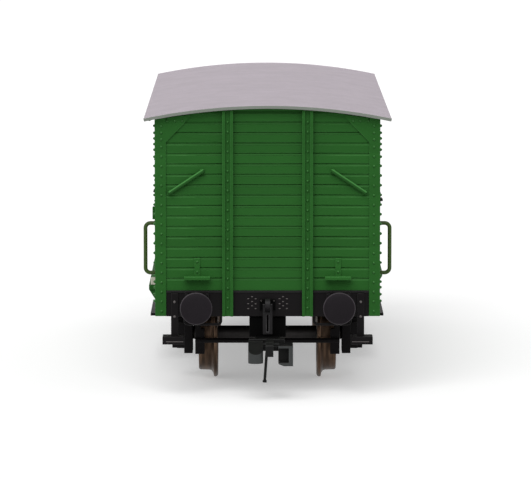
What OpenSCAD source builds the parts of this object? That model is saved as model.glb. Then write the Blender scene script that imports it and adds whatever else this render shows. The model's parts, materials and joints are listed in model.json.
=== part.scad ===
// Two-axle railway coach in model size: a planked body with sliding doors on a riveted underframe.
// X runs across the coach, Y runs along it and Z is up from the bottoms of the wheel flanges.
// The front end faces -Y. The rear end is the front end turned half a turn about Z.

/* [Body] */
// Width over the side posts
body_w = 31.9; // [30.5:0.1:33.5]
// Length over the planks of the end walls
body_l = 92.6; // [90:0.2:98]
// Thickness of the planked walls
wall_t = 1; // [0.8:0.05:1.2]
// How far the side posts stand out of the planks
post_proud = 0.5; // [0.4:0.05:0.6]
// Height of the top of the underframe
frame_top_z = 15; // [14.8:0.1:16]
// Height of the underside of the roof at its side edges
eaves_z = 39.1; // [39:0.05:41]
// Height from one board joint to the next
board_pitch = 1.48; // [1.2:0.01:1.8]
// Height of the lowest board
first_board_h = 1.78; // [1.4:0.02:2.2]
// Height of the groove between two boards
groove_w = 0.38; // [0.25:0.01:0.5]
// Depth of the groove between two boards
groove_d = 0.16; // [0.1:0.01:0.3]

/* [Roof] */
// Rise of the arched roof over its width
roof_rise = 1.83; // [1.2:0.01:3]
// Thickness of the roof sheet
roof_t = 0.45; // [0.3:0.05:0.8]
// How far the roof stands over each side post
roof_side_over = 1.6; // [1.5:0.05:2.2]
// How far the roof stands over each end wall
roof_end_over = 1.3; // [1:0.05:2.5]

/* [End walls] */
// Distance of each channel post from the middle
end_post_x = 5.66; // [5:0.02:6.6]
// Width of a channel post
end_post_w = 1.54; // [1.3:0.02:2]
// Depth of a channel post
end_post_d = 0.8; // [0.6:0.05:1]
// Thickness of a channel post's web and flanges
end_post_leaf = 0.4; // [0.25:0.01:0.45]
// Height of the bottom ends of the end posts
post_foot_z = 11.35; // [11.3:0.05:12]
// Width of a corner post on the end wall
corner_end_w = 1.55; // [1.3:0.05:1.7]
// Width of a corner post on the side wall
corner_side_w = 1.4; // [1.2:0.05:2]
// How far corner posts and gussets stand out of the end planks
corner_proud = 0.25; // [0.15:0.01:0.4]
// Width of a corner gusset beside its post
gusset_w = 2.9; // [2:0.1:4]
// Height of a corner gusset
gusset_h = 3; // [2:0.1:4]

/* [Side walls] */
// Width of a side post
side_post_w = 1.3; // [1:0.05:1.6]
// Width of a window opening
window_w = 7.6; // [6:0.1:9]
// Height of a window opening
window_h = 5.6; // [4:0.1:6.5]
// Height of the window sills
sill_z = 28.6; // [28:0.1:29.5]
// Width of the frame around a window
window_frame_w = 0.5; // [0.3:0.05:0.8]
// How far a window frame stands out of the planks
window_frame_proud = 0.25; // [0.1:0.05:0.35]
// Thickness of a window pane
pane_t = 0.3; // [0.2:0.05:0.4]

/* [Sliding doors] */
// Width of the doorway
doorway_w = 15.6; // [14:0.1:16.6]
// Height of the top of the doorway
doorway_top_z = 37.5; // [36.6:0.1:37.6]
// Width of a door
door_w = 17.2; // [16.9:0.1:17.6]
// Height of the bottom edge of a door
door_foot_z = 14.2; // [14.1:0.05:14.5]
// Height of the top edge of a door
door_top_z = 38.1; // [38:0.05:38.2]
// Thickness of the door boards
door_t = 0.55; // [0.5:0.05:0.7]
// Thickness of the frame on the door boards
door_frame_t = 0.2; // [0.2:0.05:0.35]
// Width of the frame on the door boards
door_frame_w = 1.1; // [0.8:0.05:1.5]
// How far a door slides open
door_travel = 17.6; // [15:0.1:17.8]
// Height of the running face of the door rails
rail_top_z = 13.6; // [13.4:0.05:13.7]
// Thickness of the door rails
rail_t = 0.7; // [0.5:0.05:0.9]

/* [Underframe] */
// Height of the headstocks and sole bars
frame_h = 3.7; // [3.4:0.05:3.7]
// Thickness of a headstock
headstock_t = 1.3; // [1:0.05:1.6]
// Distance of a sole bar's web from the middle
sole_x = 10.2; // [10.2:0.02:10.5]
// Width of a sole bar
sole_w = 0.7; // [0.5:0.05:0.9]
// Thickness of a sole bar's web and flanges
sole_leaf = 0.3; // [0.2:0.02:0.35]
// Thickness of the floor plate
floor_t = 0.8; // [0.6:0.05:1.2]
// Height of the cross bearers
bearer_h = 1.7; // [1.2:0.05:1.9]
// Thickness of the cross bearers
bearer_t = 0.8; // [0.5:0.05:1]

/* [Wheelsets] */
// Distance between the two axles
wheelbase = 51.7; // [50.5:0.1:52.2]
// Distance between the backs of a pair of wheels
back_to_back = 14.4; // [14:0.1:14.6]
// Diameter of the tread beside the flange
tread_d = 11; // [10.6:0.05:11]
// Height of the flange over the tread
flange_h = 1; // [0.6:0.05:1.1]
// Width of the flange
flange_w = 0.8; // [0.6:0.05:0.9]
// Width of a wheel
wheel_w = 2.8; // [2.4:0.05:2.8]
// Depth of the dish in each face of a wheel
wheel_dish = 0.85; // [0.4:0.05:1]
// Diameter of an axle
axle_d = 2; // [1.6:0.05:2.2]
// Length of an axle over its points
axle_l = 24.5; // [24.2:0.05:24.7]
// Length of the cone at each end of an axle
axle_cone_l = 1.5; // [1.2:0.05:1.8]
// Diameter of the insulating bush in a wheel
bush_d = 3; // [2.6:0.05:3.4]

/* [Axle guards, boxes and springs] */
// Thickness of an axle guard
guard_t = 1.25; // [1:0.05:1.3]
// Height of the bottom of the axle guards
guard_foot_z = 3.7; // [3.4:0.05:4]
// Diameter of a bearing cup
cup_d = 3; // [2.6:0.05:3.2]
// Running clearance between an axle point and its cup
cup_gap = 0.08; // [0.05:0.01:0.1]
// Depth of an axle box outside its guard
box_d = 1.75; // [1.3:0.05:1.9]
// Width of an axle box
box_w = 4; // [3.6:0.1:4.4]
// Half the length of the longest spring leaf
spring_reach = 5.2; // [4.6:0.05:5.4]
// Radius that the spring leaves are bent to
spring_bend_r = 22; // [18:0.5:30]
// Thickness of one spring leaf
leaf_t = 0.35; // [0.25:0.01:0.36]
// Width of the spring leaves
leaf_w = 1.1; // [0.8:0.05:1.2]

/* [Brakes] */
// Distance of a brake block from the tread
shoe_gap = 0.3; // [0.2:0.02:0.4]
// Thickness of a brake block
shoe_t = 1.05; // [0.8:0.05:1.1]
// Width of a brake block
shoe_w = 1.35; // [1:0.05:1.4]
// Distance of the middle of a brake block from the coach's middle
shoe_x = 9.8; // [9.5:0.05:9.85]
// Diameter of the brake beams
beam_d = 0.7; // [0.5:0.05:0.9]
// Diameter of the brake pull rod
rod_d = 0.6; // [0.4:0.05:0.6]
// Diameter of the brake cylinder
brake_cyl_d = 4; // [3:0.1:4.2]
// Diameter of the air reservoir
reservoir_d = 4.8; // [3.6:0.1:4.9]
// Length of the air reservoir
reservoir_l = 12; // [9:0.2:14]

/* [Buffers] */
// Distance between the middles of a pair of buffers
buffer_pitch = 20.12; // [19.5:0.02:20.5]
// Height of the middles of the buffers
buffer_z = 13.2; // [13:0.05:13.4]
// Distance of the buffer faces from the headstock
buffer_l = 7.1; // [6.6:0.1:7.3]
// Diameter of a buffer head
buffer_head_d = 4.55; // [4.2:0.05:4.9]
// Thickness of a buffer head at its rim
buffer_head_t = 0.35; // [0.3:0.05:0.6]
// Height of the crown on a buffer face
buffer_crown = 0.2; // [0.1:0.02:0.3]
// Diameter of the plunger in a buffer sleeve
plunger_d = 1.9; // [1.5:0.05:1.95]
// Length of a buffer sleeve from the headstock
sleeve_l = 4.6; // [4.2:0.1:4.8]
// How far a buffer goes in
buffer_travel = 1; // [0.6:0.1:1.2]
// Side of the square base plate of a buffer
buffer_base_w = 3.4; // [3.3:0.05:3.9]

/* [Couplers] */
// Distance of a coupler pivot from the middle of the coach
coupler_pivot_y = 32; // [31.5:0.1:32.5]
// Diameter of the coupler pivot screw
coupler_screw_d = 1.6; // [1.2:0.05:1.8]
// Distance of the coupler's front from the end of the body
coupler_reach = 7.9; // [7.7:0.05:8.3]
// Width of the uncoupling hook
hook_w = 1.1; // [0.8:0.05:1.2]
// Diameter of the hook's pivot pin
hook_pin_d = 0.6; // [0.4:0.02:0.7]
// Height of the bottom of the uncoupling pin
drop_pin_z = 2.7; // [2.3:0.05:3.5]

/* [Steps, handles and draw gear] */
// Diameter of the grab handle wire
handle_d = 0.56; // [0.3:0.02:0.6]
// Height of the bottom leg of a side grab handle
handle_z = 17.2; // [16.6:0.1:18]
// Distance between the two legs of a side grab handle
handle_h = 7.1; // [5:0.1:9]
// Distance of a side grab handle from the planks
handle_stand = 1.94; // [1.6:0.02:2]
// Thickness of the step plates
step_t = 0.4; // [0.3:0.05:0.5]
// Height of the top of the corner steps
corner_step_z = 8.55; // [8.2:0.05:9]
// Height of the top of the door steps
door_step_z = 7.3; // [7:0.05:7.8]
// Width of the draw hook
draw_hook_w = 0.7; // [0.5:0.05:0.8]

/* [Inside] */
// Width of the ballast weight
ballast_w = 18; // [14:0.5:22]
// Length of the ballast weight
ballast_l = 68; // [50:1:80]
// Thickness of the ballast weight
ballast_t = 1.2; // [0.8:0.05:1.4]
// Height of the bench seats over the inner floor
seat_h = 5; // [4.4:0.1:5.4]
// Depth of a bench seat
seat_d = 4.6; // [3.8:0.1:4.8]
// Height of the bench backs over the inner floor
bench_back_h = 9.8; // [8:0.1:10]
// Width of the aisle between the benches
aisle_w = 7.2; // [6:0.1:9]

/* [Clearances] */
// Gap at joints that are fixed
fit_gap = 0.05; // [0.02:0.01:0.06]
// Gap between sliding faces
run_gap = 0.15; // [0.12:0.01:0.17]
// Clearance all round a turning pin or a sliding plunger
pin_gap = 0.06; // [0.04:0.01:0.08]

/* [Hidden] */
$fn = 48;
ARC_FN = 360;    // segments of the roof's large arc
WIRE_FN = 24;    // segments of thin wires and rods

lap = 0.1;       // overlap that joins the blocks of one piece
cut = 1;         // how far a cut runs past its piece

GREEN = "#2d5e2b";
ROOF_GREY = "#b6adb3";
BLACK = "#232224";
STEEL = "#a8a39b";
BRONZE = "#8b7a62";
BRASS = "#b08d43";
CREAM = "#cbbf9f";
WOOD = "#8c6238";
GLASS = "#bcd3da";
OLIVE = "#55643c";

// Body
plank_x = body_w / 2 - post_proud;
end_y = body_l / 2;
wall_l = body_l - 2 * wall_t - 2 * fit_gap;
roof_half_w = body_w / 2 + roof_side_over;
roof_half_l = end_y + roof_end_over;
roof_in_r = (pow(roof_half_w, 2) + pow(roof_rise, 2)) / (2 * roof_rise);
roof_mid_z = eaves_z + roof_rise - roof_in_r;
wall_h = eaves_z + roof_rise - frame_top_z;
frame_foot_z = frame_top_z - frame_h;
corner_x = body_w / 2 - corner_end_w;
corner_y = end_y - corner_side_w;

// Side posts, windows and doors
door_post_y = doorway_w / 2 + run_gap + side_post_w / 2;
door_half = door_w / 2;
door_in_x = body_w / 2 + run_gap;
door_face_x = door_in_x + door_t;
door_out_x = door_face_x + door_frame_t;
stop_y = door_half + door_travel + run_gap;
stop_l = 1.2;
stop_z = [23.3, 25.1];
stop_to_post = 0.3;
mid_post_y = stop_y + stop_to_post + side_post_w / 2;
pane_setback = 0.3;
window_bar_w = 0.32;
window_bar_at = 0.68;  // height of the bar as a share of the window
window_ys = [(door_post_y + mid_post_y) / 2, (mid_post_y + end_y - wall_t) / 2];
rail_lip = 0.45;
rail_x = [door_in_x - lap, door_out_x + rail_lip];
rail_stop_l = 0.55;
rail_stop_h = 1.1;
rail_end_y = stop_y + rail_stop_l;
bracket_t = 0.6;
bracket_slant = 0.9;
door_bar_board = 7;    // the board that the door's middle bar starts at
shoe_l = 1.6;
shoe_from_edge = 2.4;
latch_z = 24.6;
latch_plate_w = 0.8;
latch_plate_h = 1.8;
latch_plate_t = 0.2;
latch_handle_d = 0.36;
latch_handle_l = 2.6;
guide_t = 0.45;
guide_lip_t = 0.28;
guide_lip_h = 0.6;

// Wheels
flange_r = tread_d / 2 + flange_h;
axle_z = flange_r;
axle_y = wheelbase / 2;
wheel_back_x = back_to_back / 2;
wheel_face_x = wheel_back_x + wheel_w;
hub_wall = 0.8;
rim_wall = 1.1;
hub_r = bush_d / 2 + hub_wall;
rim_in_r = tread_d / 2 - rim_wall;
wheel_chamfer = 0.2;
axle_tip_r = 0.12;
axle_shoulder_x = axle_l / 2 - axle_cone_l;

// Axle guards, boxes and springs
sole_out_x = sole_x + sole_w;
guard_out_x = sole_out_x + guard_t;
guard_half_l = 7;
guard_top_gap = 0.8;
guard_top_z = frame_top_z - guard_top_gap;
guard_leg_w = box_w / 2 + 0.4;
guard_shoulder_h = 1.6;
guard_hole_h = 2.4;
guard_hole_y = [1.1, 2, 4.8];    // inner edge, and lower and upper ends of the sloping edge
guard_rim = 0.3;
cup_wall = 0.5;
cup_end_x = axle_l / 2 + cup_wall;
box_out_x = guard_out_x + box_d;
box_h = [2.1, 1.2, 1.7, 2.3];    // foot, lid, body and spring seat, from the axle's middle
box_body_share = 0.6;
box_lid_inset = 0.5;
box_seat_half = 1.1;
box_top_z = axle_z + box_h[3];
leaf_count = 4;
leaf_step = 0.19;      // how much shorter each leaf is than the one above, as a share
leaf_gap = 0.15;
leaf_mid_x = guard_out_x + leaf_gap + leaf_w / 2;
spring_foot_z = box_top_z + lap;
buckle_over = 0.12;
buckle_half_l = 0.8;
shackle_half = 0.4;
shackle_h = 1.4;
spring_top_z = spring_foot_z + leaf_count * leaf_t;
shackle_r = 0.35;
shackle_z = spring_top_z + pow(spring_reach, 2) / (2 * spring_bend_r) - 0.1;

// Brakes
shoe_r = tread_d / 2 + shoe_gap;
shoe_z = [axle_z - 2.4, axle_z + 1.3];
hanger_w = 0.8;
hanger_y = shoe_r + run_gap;
hanger_x = sole_x - 0.5;
hanger_foot_h = 0.3;
beam_y = shoe_r + shoe_t + beam_d / 2 + fit_gap;
beam_drop = 0.3;
beam_z = axle_z - beam_drop;
lever_t = 0.5;
reservoir_gap = 0.6;
pull_rod_z = frame_top_z - reservoir_gap - reservoir_d - rod_d / 2 - 2 * run_gap;
reservoir_y = -3;
reservoir_end_l = 0.4;
strap_half = 0.4;
strap_proud = 0.15;
brake_cyl_x = 3.5;
brake_cyl_y = [1.5, 7.5];
brake_cyl_gap = 0.5;
brake_cyl_z = frame_top_z - brake_cyl_gap - brake_cyl_d / 2;
cyl_collar_l = 0.6;
cyl_rod_d = 0.7;
cyl_foot_half = 1.2;
crank_y = 10;
crank_t = 0.6;
crank_half = 0.4;

// Buffers
buffer_x = buffer_pitch / 2;
sleeve_bore_r = plunger_d / 2 + pin_gap;
plunger_in = 2.2;
base_plate_t = 0.45;
boss_share = 0.95;     // width of the boss on a base plate as a share of the plate
boss_y = -1.3;
collar_y = -2.6;
collar_over = 1.1;
sleeve_over = 0.7;
sleeve_rim_over = 1;
sleeve_rim_l = 0.4;
head_boss_over = 1;
head_boss_l = 0.45;
sleeve_floor_gap = 0.8;
sleeve_floor_y = plunger_in - sleeve_l + buffer_travel + sleeve_floor_gap;

// Draw gear
hook_plate_w = 2.26;
hook_plate_t = 0.3;
hook_plate_z = [buffer_z - 1, buffer_z + 0.6];
draw_hook_r = 0.95;
draw_hook_y = -1.75;
draw_hook_shank_h = 1.1;
draw_hook_shank_y = [-1.3, -0.2];
draw_hook_eye_r = 0.42;
draw_hook_mouth_w = 0.5;
link_y = -end_y - 1.6;
link_half = 0.68;
link_strap = 0.3;
link_plate_w = 0.52;
link_t = 0.4;
link_bow_h = 0.35;
link_pin_z = buffer_z - 1.1;
link_pin_t = 0.5;

// Couplers
pocket_z = [6.6, 8.6];
pocket_wall = 0.5;
pocket_half_w = 1.75;
pivot_wall = 1.2;
drawbar_half_w = 1.6;
shaft_in = [0.4, 6.3];
shaft_y = [shaft_in[0] - end_y, shaft_in[1] - end_y];
mount_half = 3.2;
mount_to_bearer = 1.4;
mount_bearer_y = coupler_pivot_y + mount_half + mount_to_bearer + bearer_t / 2;
bearer_ys = [door_post_y, (stop_y + door_half) / 2, mount_bearer_y];
mount_hole_h = 2.5;
screw_in_mount = 1.8;
screw_head_over = 1.2;
screw_slot_w = 0.3;
pocket_out = 2.1;
pocket_in = 2.8;
pocket_y = [end_y + pocket_out, end_y - pocket_in];
drawbar_z = [9.35, frame_foot_z - 0.3];
shaft_half_w = 2.6;
screw_head_h = 0.4;
head_back_out = 3.4;
head_bar_t = 1.2;
head_bar_end_x = 2.4;
head_back_y = end_y + head_back_out;
head_bar_y = head_back_y + head_bar_t;
head_front_y = end_y + coupler_reach;
horn_x = [-2.75, -0.65];
socket_x = [1.5, 3.57];
hook_y = head_bar_y + 1.05;
hook_z = 7.95;
hook_x = [-0.3, -0.3 + hook_w];
hook_ring_r = 0.75;
horn_z = [5.5, 8.4];
horn_slope = 32;
horn_slope_from = 1.6;
socket_z = [5.1, 8];
socket_front_y = head_front_y - 0.6;
socket_floor = 0.5;
socket_roof = 0.4;
socket_wall = 0.6;
socket_bevel = [1, 0.35];
socket_depth = 1.4;
hook_nose_y = head_front_y - 0.25;
drop_pin_d = 0.4;
drop_pin_lean = 4;
drop_foot_d = 0.6;
drop_foot_h = 0.3;

// Steps, handles and rods
shunter_h = 1.2;
shunter_d = 0.38;
shunter_bend_r = 0.5;
shunter_from_post = 0.2;
shunter_x = end_post_x + end_post_w / 2 + shunter_from_post;
shunter_w = buffer_x + buffer_base_w / 2 - shunter_x;
handle_bend_r = 0.7;
handle_from_corner = 1.9;
handle_y = corner_y - handle_from_corner;
grab_rod_from_corner = 0.7;
grab_rod_h = 14.03;
grab_rod_low = [corner_x - grab_rod_from_corner, frame_top_z + grab_rod_h];
grab_rod_run = [-4.45, 2.95];
grab_rod_stand = 0.4;
grab_rod_end = 0.25;
end_step_x = buffer_x - 0.06;
end_step_w = 3.7;
end_step_d = 1.3;
end_step_h = 2.05;
end_step_z = frame_top_z + end_step_h;
end_step_t = 0.25;
end_step_lip_h = 0.45;
end_step_strap_w = 0.76;
end_step_strap_t = 0.22;
end_step_strap_h = 2.6;
step_room = corner_x - buffer_x - buffer_base_w / 2;
step_bar_x = [corner_x - 0.64 * step_room, corner_x - 0.26 * step_room];
step_bar_t = 0.35;
step_bar_top_gap = 0.4;
corner_tread_over = [0.9, 1.2];
corner_tread_half_d = 1.5;
corner_tread_lip_h = 1.1;
door_tread_x = [body_w / 2 - 1.65, body_w / 2 + 1.55];
door_tread_over = 0.2;
door_hanger_t = 0.6;
door_hanger_h = [0.4, 1.3];      // lower and upper edge at the sole bar, above its foot

module both_ends() {
    children();
    rotate([0, 0, 180]) children();
}

module both_sides() {
    children();
    mirror([1, 0, 0]) children();
}

// At each of the four wheels, from parts made at x >= 0 and y = 0
module at_wheels() {
    both_sides() for (y = [-axle_y, axle_y]) translate([0, y, 0]) children();
}

// A box between two corners
module block(low, high) {
    translate(low) cube(high - low);
}

// A prism of a YZ outline from x0 to x1
module prism_x(x0, x1) {
    translate([x0, 0, 0]) rotate([90, 0, 90]) linear_extrude(x1 - x0) children();
}

// A prism of an XZ outline, thickness t about y
module prism_y(y, t) {
    translate([0, y + t / 2, 0]) rotate([90, 0, 0]) linear_extrude(t) children();
}

module rod_x(x0, x1, d, fn = WIRE_FN) {
    translate([x0, 0, 0]) rotate([0, 90, 0]) cylinder(d = d, h = x1 - x0, $fn = fn);
}

module rod_y(y0, y1, d, fn = WIRE_FN) {
    translate([0, y0, 0]) rotate([-90, 0, 0]) cylinder(d = d, h = y1 - y0, $fn = fn);
}

// A round wire bent to a U in the XZ plane: legs at x = 0 and x = w reach down h from z = 0
module wire_loop(w, h, d, bend_r) {
    for (x = [0, w]) translate([x, 0, bend_r - h]) cylinder(d = d, h = h - bend_r, $fn = WIRE_FN);
    translate([0, 0, -h]) rod_x(bend_r, w - bend_r, d);
    for (corner = [[bend_r, 180], [w - bend_r, 270]])
        translate([corner[0], 0, bend_r - h]) rotate([90, 0, 0]) rotate([0, 0, corner[1]])
            rotate_extrude(angle = 90, $fn = WIRE_FN) translate([bend_r, 0]) circle(d = d, $fn = WIRE_FN);
}

// Everything under the roof sheet
module under_roof(gap) {
    translate([0, roof_half_l, roof_mid_z]) rotate([90, 0, 0])
        cylinder(r = roof_in_r - gap, h = 2 * roof_half_l, $fn = ARC_FN);
}

// V grooves between boards, along a face through the origin
module board_grooves(from_z, to_z, length) {
    groove_top = groove_w / 5;
    count = floor((to_z - from_z) / board_pitch);
    for (i = [0 : count]) translate([0, 0, from_z + i * board_pitch]) prism_x(-length / 2, length / 2)
        polygon([[-lap, groove_top], [groove_d, groove_top - lap], [0, groove_top - groove_w],
                 [-lap, groove_top - groove_w]]);
}

// ---- Body ----

module corner_post() {
    block([corner_x, -end_y - corner_proud, post_foot_z], [body_w / 2, wall_t - end_y, frame_top_z + wall_h]);
    block([plank_x, wall_t - end_y - lap, post_foot_z], [body_w / 2, -corner_y, frame_top_z + wall_h]);
}

module channel_post() {
    for (side = [-1, 1])
        translate([end_post_x + side * (end_post_w - end_post_leaf) / 2, 0, 0])
            block([-end_post_leaf / 2, -end_y - end_post_d, post_foot_z],
                  [end_post_leaf / 2, -end_y, frame_top_z + wall_h]);
    block([end_post_x - end_post_w / 2, -end_y - end_post_leaf, post_foot_z],
          [end_post_x + end_post_w / 2, -end_y, frame_top_z + wall_h]);
}

module gusset() {
    prism_y(-end_y - corner_proud / 2, corner_proud)
        polygon([[corner_x + lap, eaves_z - gusset_h], [corner_x, eaves_z - gusset_h],
                 [corner_x - gusset_w, eaves_z], [corner_x + lap, eaves_z]]);
}

module end_wall() {
    color(GREEN) intersection() {
        union() {
            difference() {
                block([-plank_x, -end_y, frame_top_z], [plank_x, wall_t - end_y, frame_top_z + wall_h]);
                translate([0, -end_y, 0])
                    board_grooves(frame_top_z + first_board_h, frame_top_z + wall_h, body_w);
            }
            both_sides() {
                corner_post();
                channel_post();
                gusset();
            }
        }
        under_roof(fit_gap);
    }
}

module window_hole(grow) {
    translate([plank_x - wall_t / 2, 0, sill_z + window_h / 2])
        cube([4 * wall_t, window_w + 2 * grow, window_h + 2 * grow], center = true);
}

module window_frame() {
    translate([0, 0, sill_z - window_frame_w])
        block([plank_x - lap, -window_w / 2 - window_frame_w, 0],
              [plank_x + window_frame_proud, window_w / 2 + window_frame_w, window_h + 2 * window_frame_w]);
}

// The bar across a window, outside its pane
module window_bar() {
    translate([0, 0, sill_z + window_h * window_bar_at])
        block([plank_x - pane_setback, -window_w / 2 - lap, 0],
              [plank_x + window_frame_proud, window_w / 2 + lap, window_bar_w]);
}

module side_wall() {
    color(GREEN) intersection() {
        union() {
            difference() {
                union() {
                    difference() {
                        block([plank_x - wall_t, -wall_l / 2, frame_top_z],
                              [plank_x, wall_l / 2, frame_top_z + wall_h]);
                        translate([plank_x, 0, 0]) rotate([0, 0, 90])
                            board_grooves(frame_top_z + first_board_h, frame_top_z + wall_h, body_l);
                    }
                    for (y = window_ys, side = [-1, 1]) translate([0, side * y, 0]) window_frame();
                }
                for (y = window_ys, side = [-1, 1]) translate([0, side * y, 0]) window_hole(0);
                block([plank_x - 2 * wall_t, -doorway_w / 2, frame_top_z - cut],
                      [plank_x + cut, doorway_w / 2, doorway_top_z]);
            }
            for (y = window_ys, side = [-1, 1]) translate([0, side * y, 0]) window_bar();
            for (y = [door_post_y, mid_post_y], side = [-1, 1]) translate([0, side * y, 0])
                block([plank_x - lap, -side_post_w / 2, frame_top_z],
                      [body_w / 2, side_post_w / 2, frame_top_z + wall_h]);
        }
        under_roof(fit_gap);
    }
}

module window_panes() {
    color(GLASS) both_sides() for (y = window_ys, side = [-1, 1]) translate([0, side * y, 0])
        intersection() {
            window_hole(-fit_gap);
            translate([plank_x - pane_setback - fit_gap - pane_t / 2, 0, sill_z + window_h / 2])
                cube([pane_t, 2 * window_w, 2 * window_h], center = true);
        }
}

module roof_sheet() {
    color(ROOF_GREY) intersection() {
        translate([0, roof_half_l, roof_mid_z]) rotate([90, 0, 0]) difference() {
            cylinder(r = roof_in_r + roof_t, h = 2 * roof_half_l, $fn = ARC_FN);
            translate([0, 0, -cut]) cylinder(r = roof_in_r, h = 2 * (roof_half_l + cut), $fn = ARC_FN);
        }
        block([-roof_half_w, -roof_half_l - cut, eaves_z - cut],
              [roof_half_w, roof_half_l + cut, eaves_z + roof_rise + roof_t + cut]);
    }
}

// ---- Inside ----

module floor_sheet() {
    color(BLACK) block([wall_t + fit_gap - plank_x, wall_t + fit_gap - end_y, frame_top_z],
                       [plank_x - wall_t - fit_gap, end_y - wall_t - fit_gap, frame_top_z + floor_t]);
}

ballast_z = frame_top_z + floor_t;
inner_floor_z = ballast_z + ballast_t;
inner_floor_t = 0.6;
bench_back_t = 0.6;
bench_board_t = 0.6;
bench_side_gap = 0.6;
bench_out_x = plank_x - wall_t - bench_side_gap;
tray_end_gap = 0.4;
double_back_t = 1;

module ballast_bar() {
    color(STEEL) block([-ballast_w / 2, -ballast_l / 2, ballast_z],
                       [ballast_w / 2, ballast_l / 2, inner_floor_z]);
}

// Outline of a bench that faces +Y, with its back at y = 0
module bench_outline() {
    union() {
        square([bench_back_t, bench_back_h]);
        translate([0, seat_h - bench_board_t]) square([bench_back_t + seat_d, bench_board_t]);
        translate([seat_d - bench_board_t, -lap]) square([bench_board_t, seat_h]);
    }
}

// A pair of benches across the coach, facing +Y, with the back's rear face at y
module bench(y) {
    both_sides() translate([0, y, inner_floor_z + inner_floor_t])
        prism_x(aisle_w / 2, bench_out_x) bench_outline();
}

module seat_tray() {
    end_in_y = end_y - wall_t - tray_end_gap;
    color(WOOD) union() {
        block([-bench_out_x, -end_in_y, inner_floor_z],
              [bench_out_x, end_in_y, inner_floor_z + inner_floor_t]);
        both_ends() {
            bench(door_post_y + side_post_w);
            bench(mid_post_y - double_back_t / 2);
            mirror([0, 1, 0]) bench(-mid_post_y - double_back_t / 2);
            mirror([0, 1, 0]) bench(-end_in_y);
        }
    }
}

// ---- Sliding doors, made on the right side, where the door opens towards +Y ----

module door_bracket(y, from_x) {
    top_z = frame_top_z - bearer_h - fit_gap;
    foot_z = frame_foot_z + run_gap;
    prism_y(y, bracket_t)
        polygon([[from_x, top_z], [rail_x[0], top_z], [rail_x[0] + lap, rail_top_z - lap],
                 [rail_x[1] - lap, rail_top_z - lap], [rail_x[1], rail_top_z - rail_t],
                 [rail_x[1] - bracket_slant, foot_z], [from_x, foot_z]]);
}

module door_rail() {
    color(GREEN) union() {
        block([rail_x[0], -door_post_y - side_post_w / 2, rail_top_z - rail_t],
              [rail_x[1], rail_end_y, rail_top_z]);
        for (y = [-door_post_y, 0, door_post_y, bearer_ys[1]]) door_bracket(y, sole_out_x);
        door_bracket(stop_y, guard_out_x);
    }
}

module door_guide() {
    top_z = door_top_z + run_gap;
    lip_x = door_out_x + run_gap;
    ends = [-door_post_y - side_post_w / 2, mid_post_y];
    color(GREEN) prism_y((ends[0] + ends[1]) / 2, ends[1] - ends[0])
        polygon([[body_w / 2, top_z], [lip_x, top_z], [lip_x, top_z - guide_lip_h],
                 [lip_x + guide_lip_t, top_z - guide_lip_h], [lip_x + guide_lip_t, top_z + guide_t],
                 [body_w / 2, top_z + guide_t]]);
}

module door_stop() {
    color(GREEN) block([body_w / 2, stop_y, stop_z[0]], [door_out_x - lap, stop_y + stop_l, stop_z[1]]);
}

module rail_end_stop() {
    color(CREAM) block([door_in_x, stop_y, rail_top_z], [rail_x[1], rail_end_y, rail_top_z + rail_stop_h]);
}

module door_panel() {
    bar_z = frame_top_z + first_board_h + door_bar_board * board_pitch;
    fields_z = [[door_foot_z + door_frame_w, bar_z], [bar_z + door_frame_w, door_top_z - door_frame_w]];
    color(GREEN) union() {
        difference() {
            block([door_in_x, -door_half, door_foot_z], [door_face_x, door_half, door_top_z]);
            translate([door_face_x, 0, 0]) rotate([0, 0, 90])
                board_grooves(frame_top_z + first_board_h, door_top_z - groove_w, door_w + cut);
        }
        difference() {
            block([door_face_x - groove_d - lap, -door_half, door_foot_z],
                  [door_out_x, door_half, door_top_z]);
            for (z = fields_z)
                block([door_face_x - cut, door_frame_w - door_half, z[0]],
                      [door_out_x + cut, door_half - door_frame_w, z[1]]);
        }
    }
}

module door_fittings() {
    color(BLACK) union() {
        for (side = [-1, 1]) translate([0, side * (door_half - shoe_from_edge), 0])
            block([door_in_x + lap, -shoe_l / 2, rail_top_z + run_gap],
                  [door_out_x, shoe_l / 2, door_foot_z]);
        translate([door_out_x, door_frame_w / 2 - door_half, latch_z]) {
            block([0, -latch_plate_w / 2, -latch_plate_h / 2],
                  [latch_plate_t, latch_plate_w / 2, latch_plate_h / 2]);
            translate([0, 0, -latch_plate_h / 6]) {
                translate([latch_handle_d, 0, 0])
                    rod_y(-latch_plate_w / 2, latch_handle_l - latch_plate_w / 2, latch_handle_d);
                rod_x(lap, latch_handle_d, latch_handle_d);
            }
        }
    }
}

// ---- Underframe ----

module sole_bar() {
    length = end_y - headstock_t;
    color(BLACK) difference() {
        block([sole_x, -length, frame_foot_z], [sole_out_x, length, frame_top_z]);
        block([sole_x + sole_leaf, -length - cut, frame_foot_z + sole_leaf],
              [sole_out_x + cut, length + cut, frame_top_z - sole_leaf]);
    }
}

module cross_bearer(y) {
    foot_z = frame_top_z - bearer_h;
    tip_z = frame_top_z - bearer_h / 2;
    color(BLACK) translate([0, y, 0]) {
        block([-sole_x, -bearer_t / 2, foot_z], [sole_x, bearer_t / 2, frame_top_z]);
        both_sides() prism_y(0, bearer_t)
            polygon([[sole_out_x, foot_z], [plank_x, tip_z],
                     [plank_x, frame_top_z], [sole_out_x, frame_top_z]]);
    }
}

module headstock() {
    color(BLACK) block([-corner_x, -end_y, frame_foot_z], [corner_x, headstock_t - end_y, frame_top_z]);
}

// ---- Axle guards, boxes, cups and springs, made for a wheel at x > 0 and y = 0 ----

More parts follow.
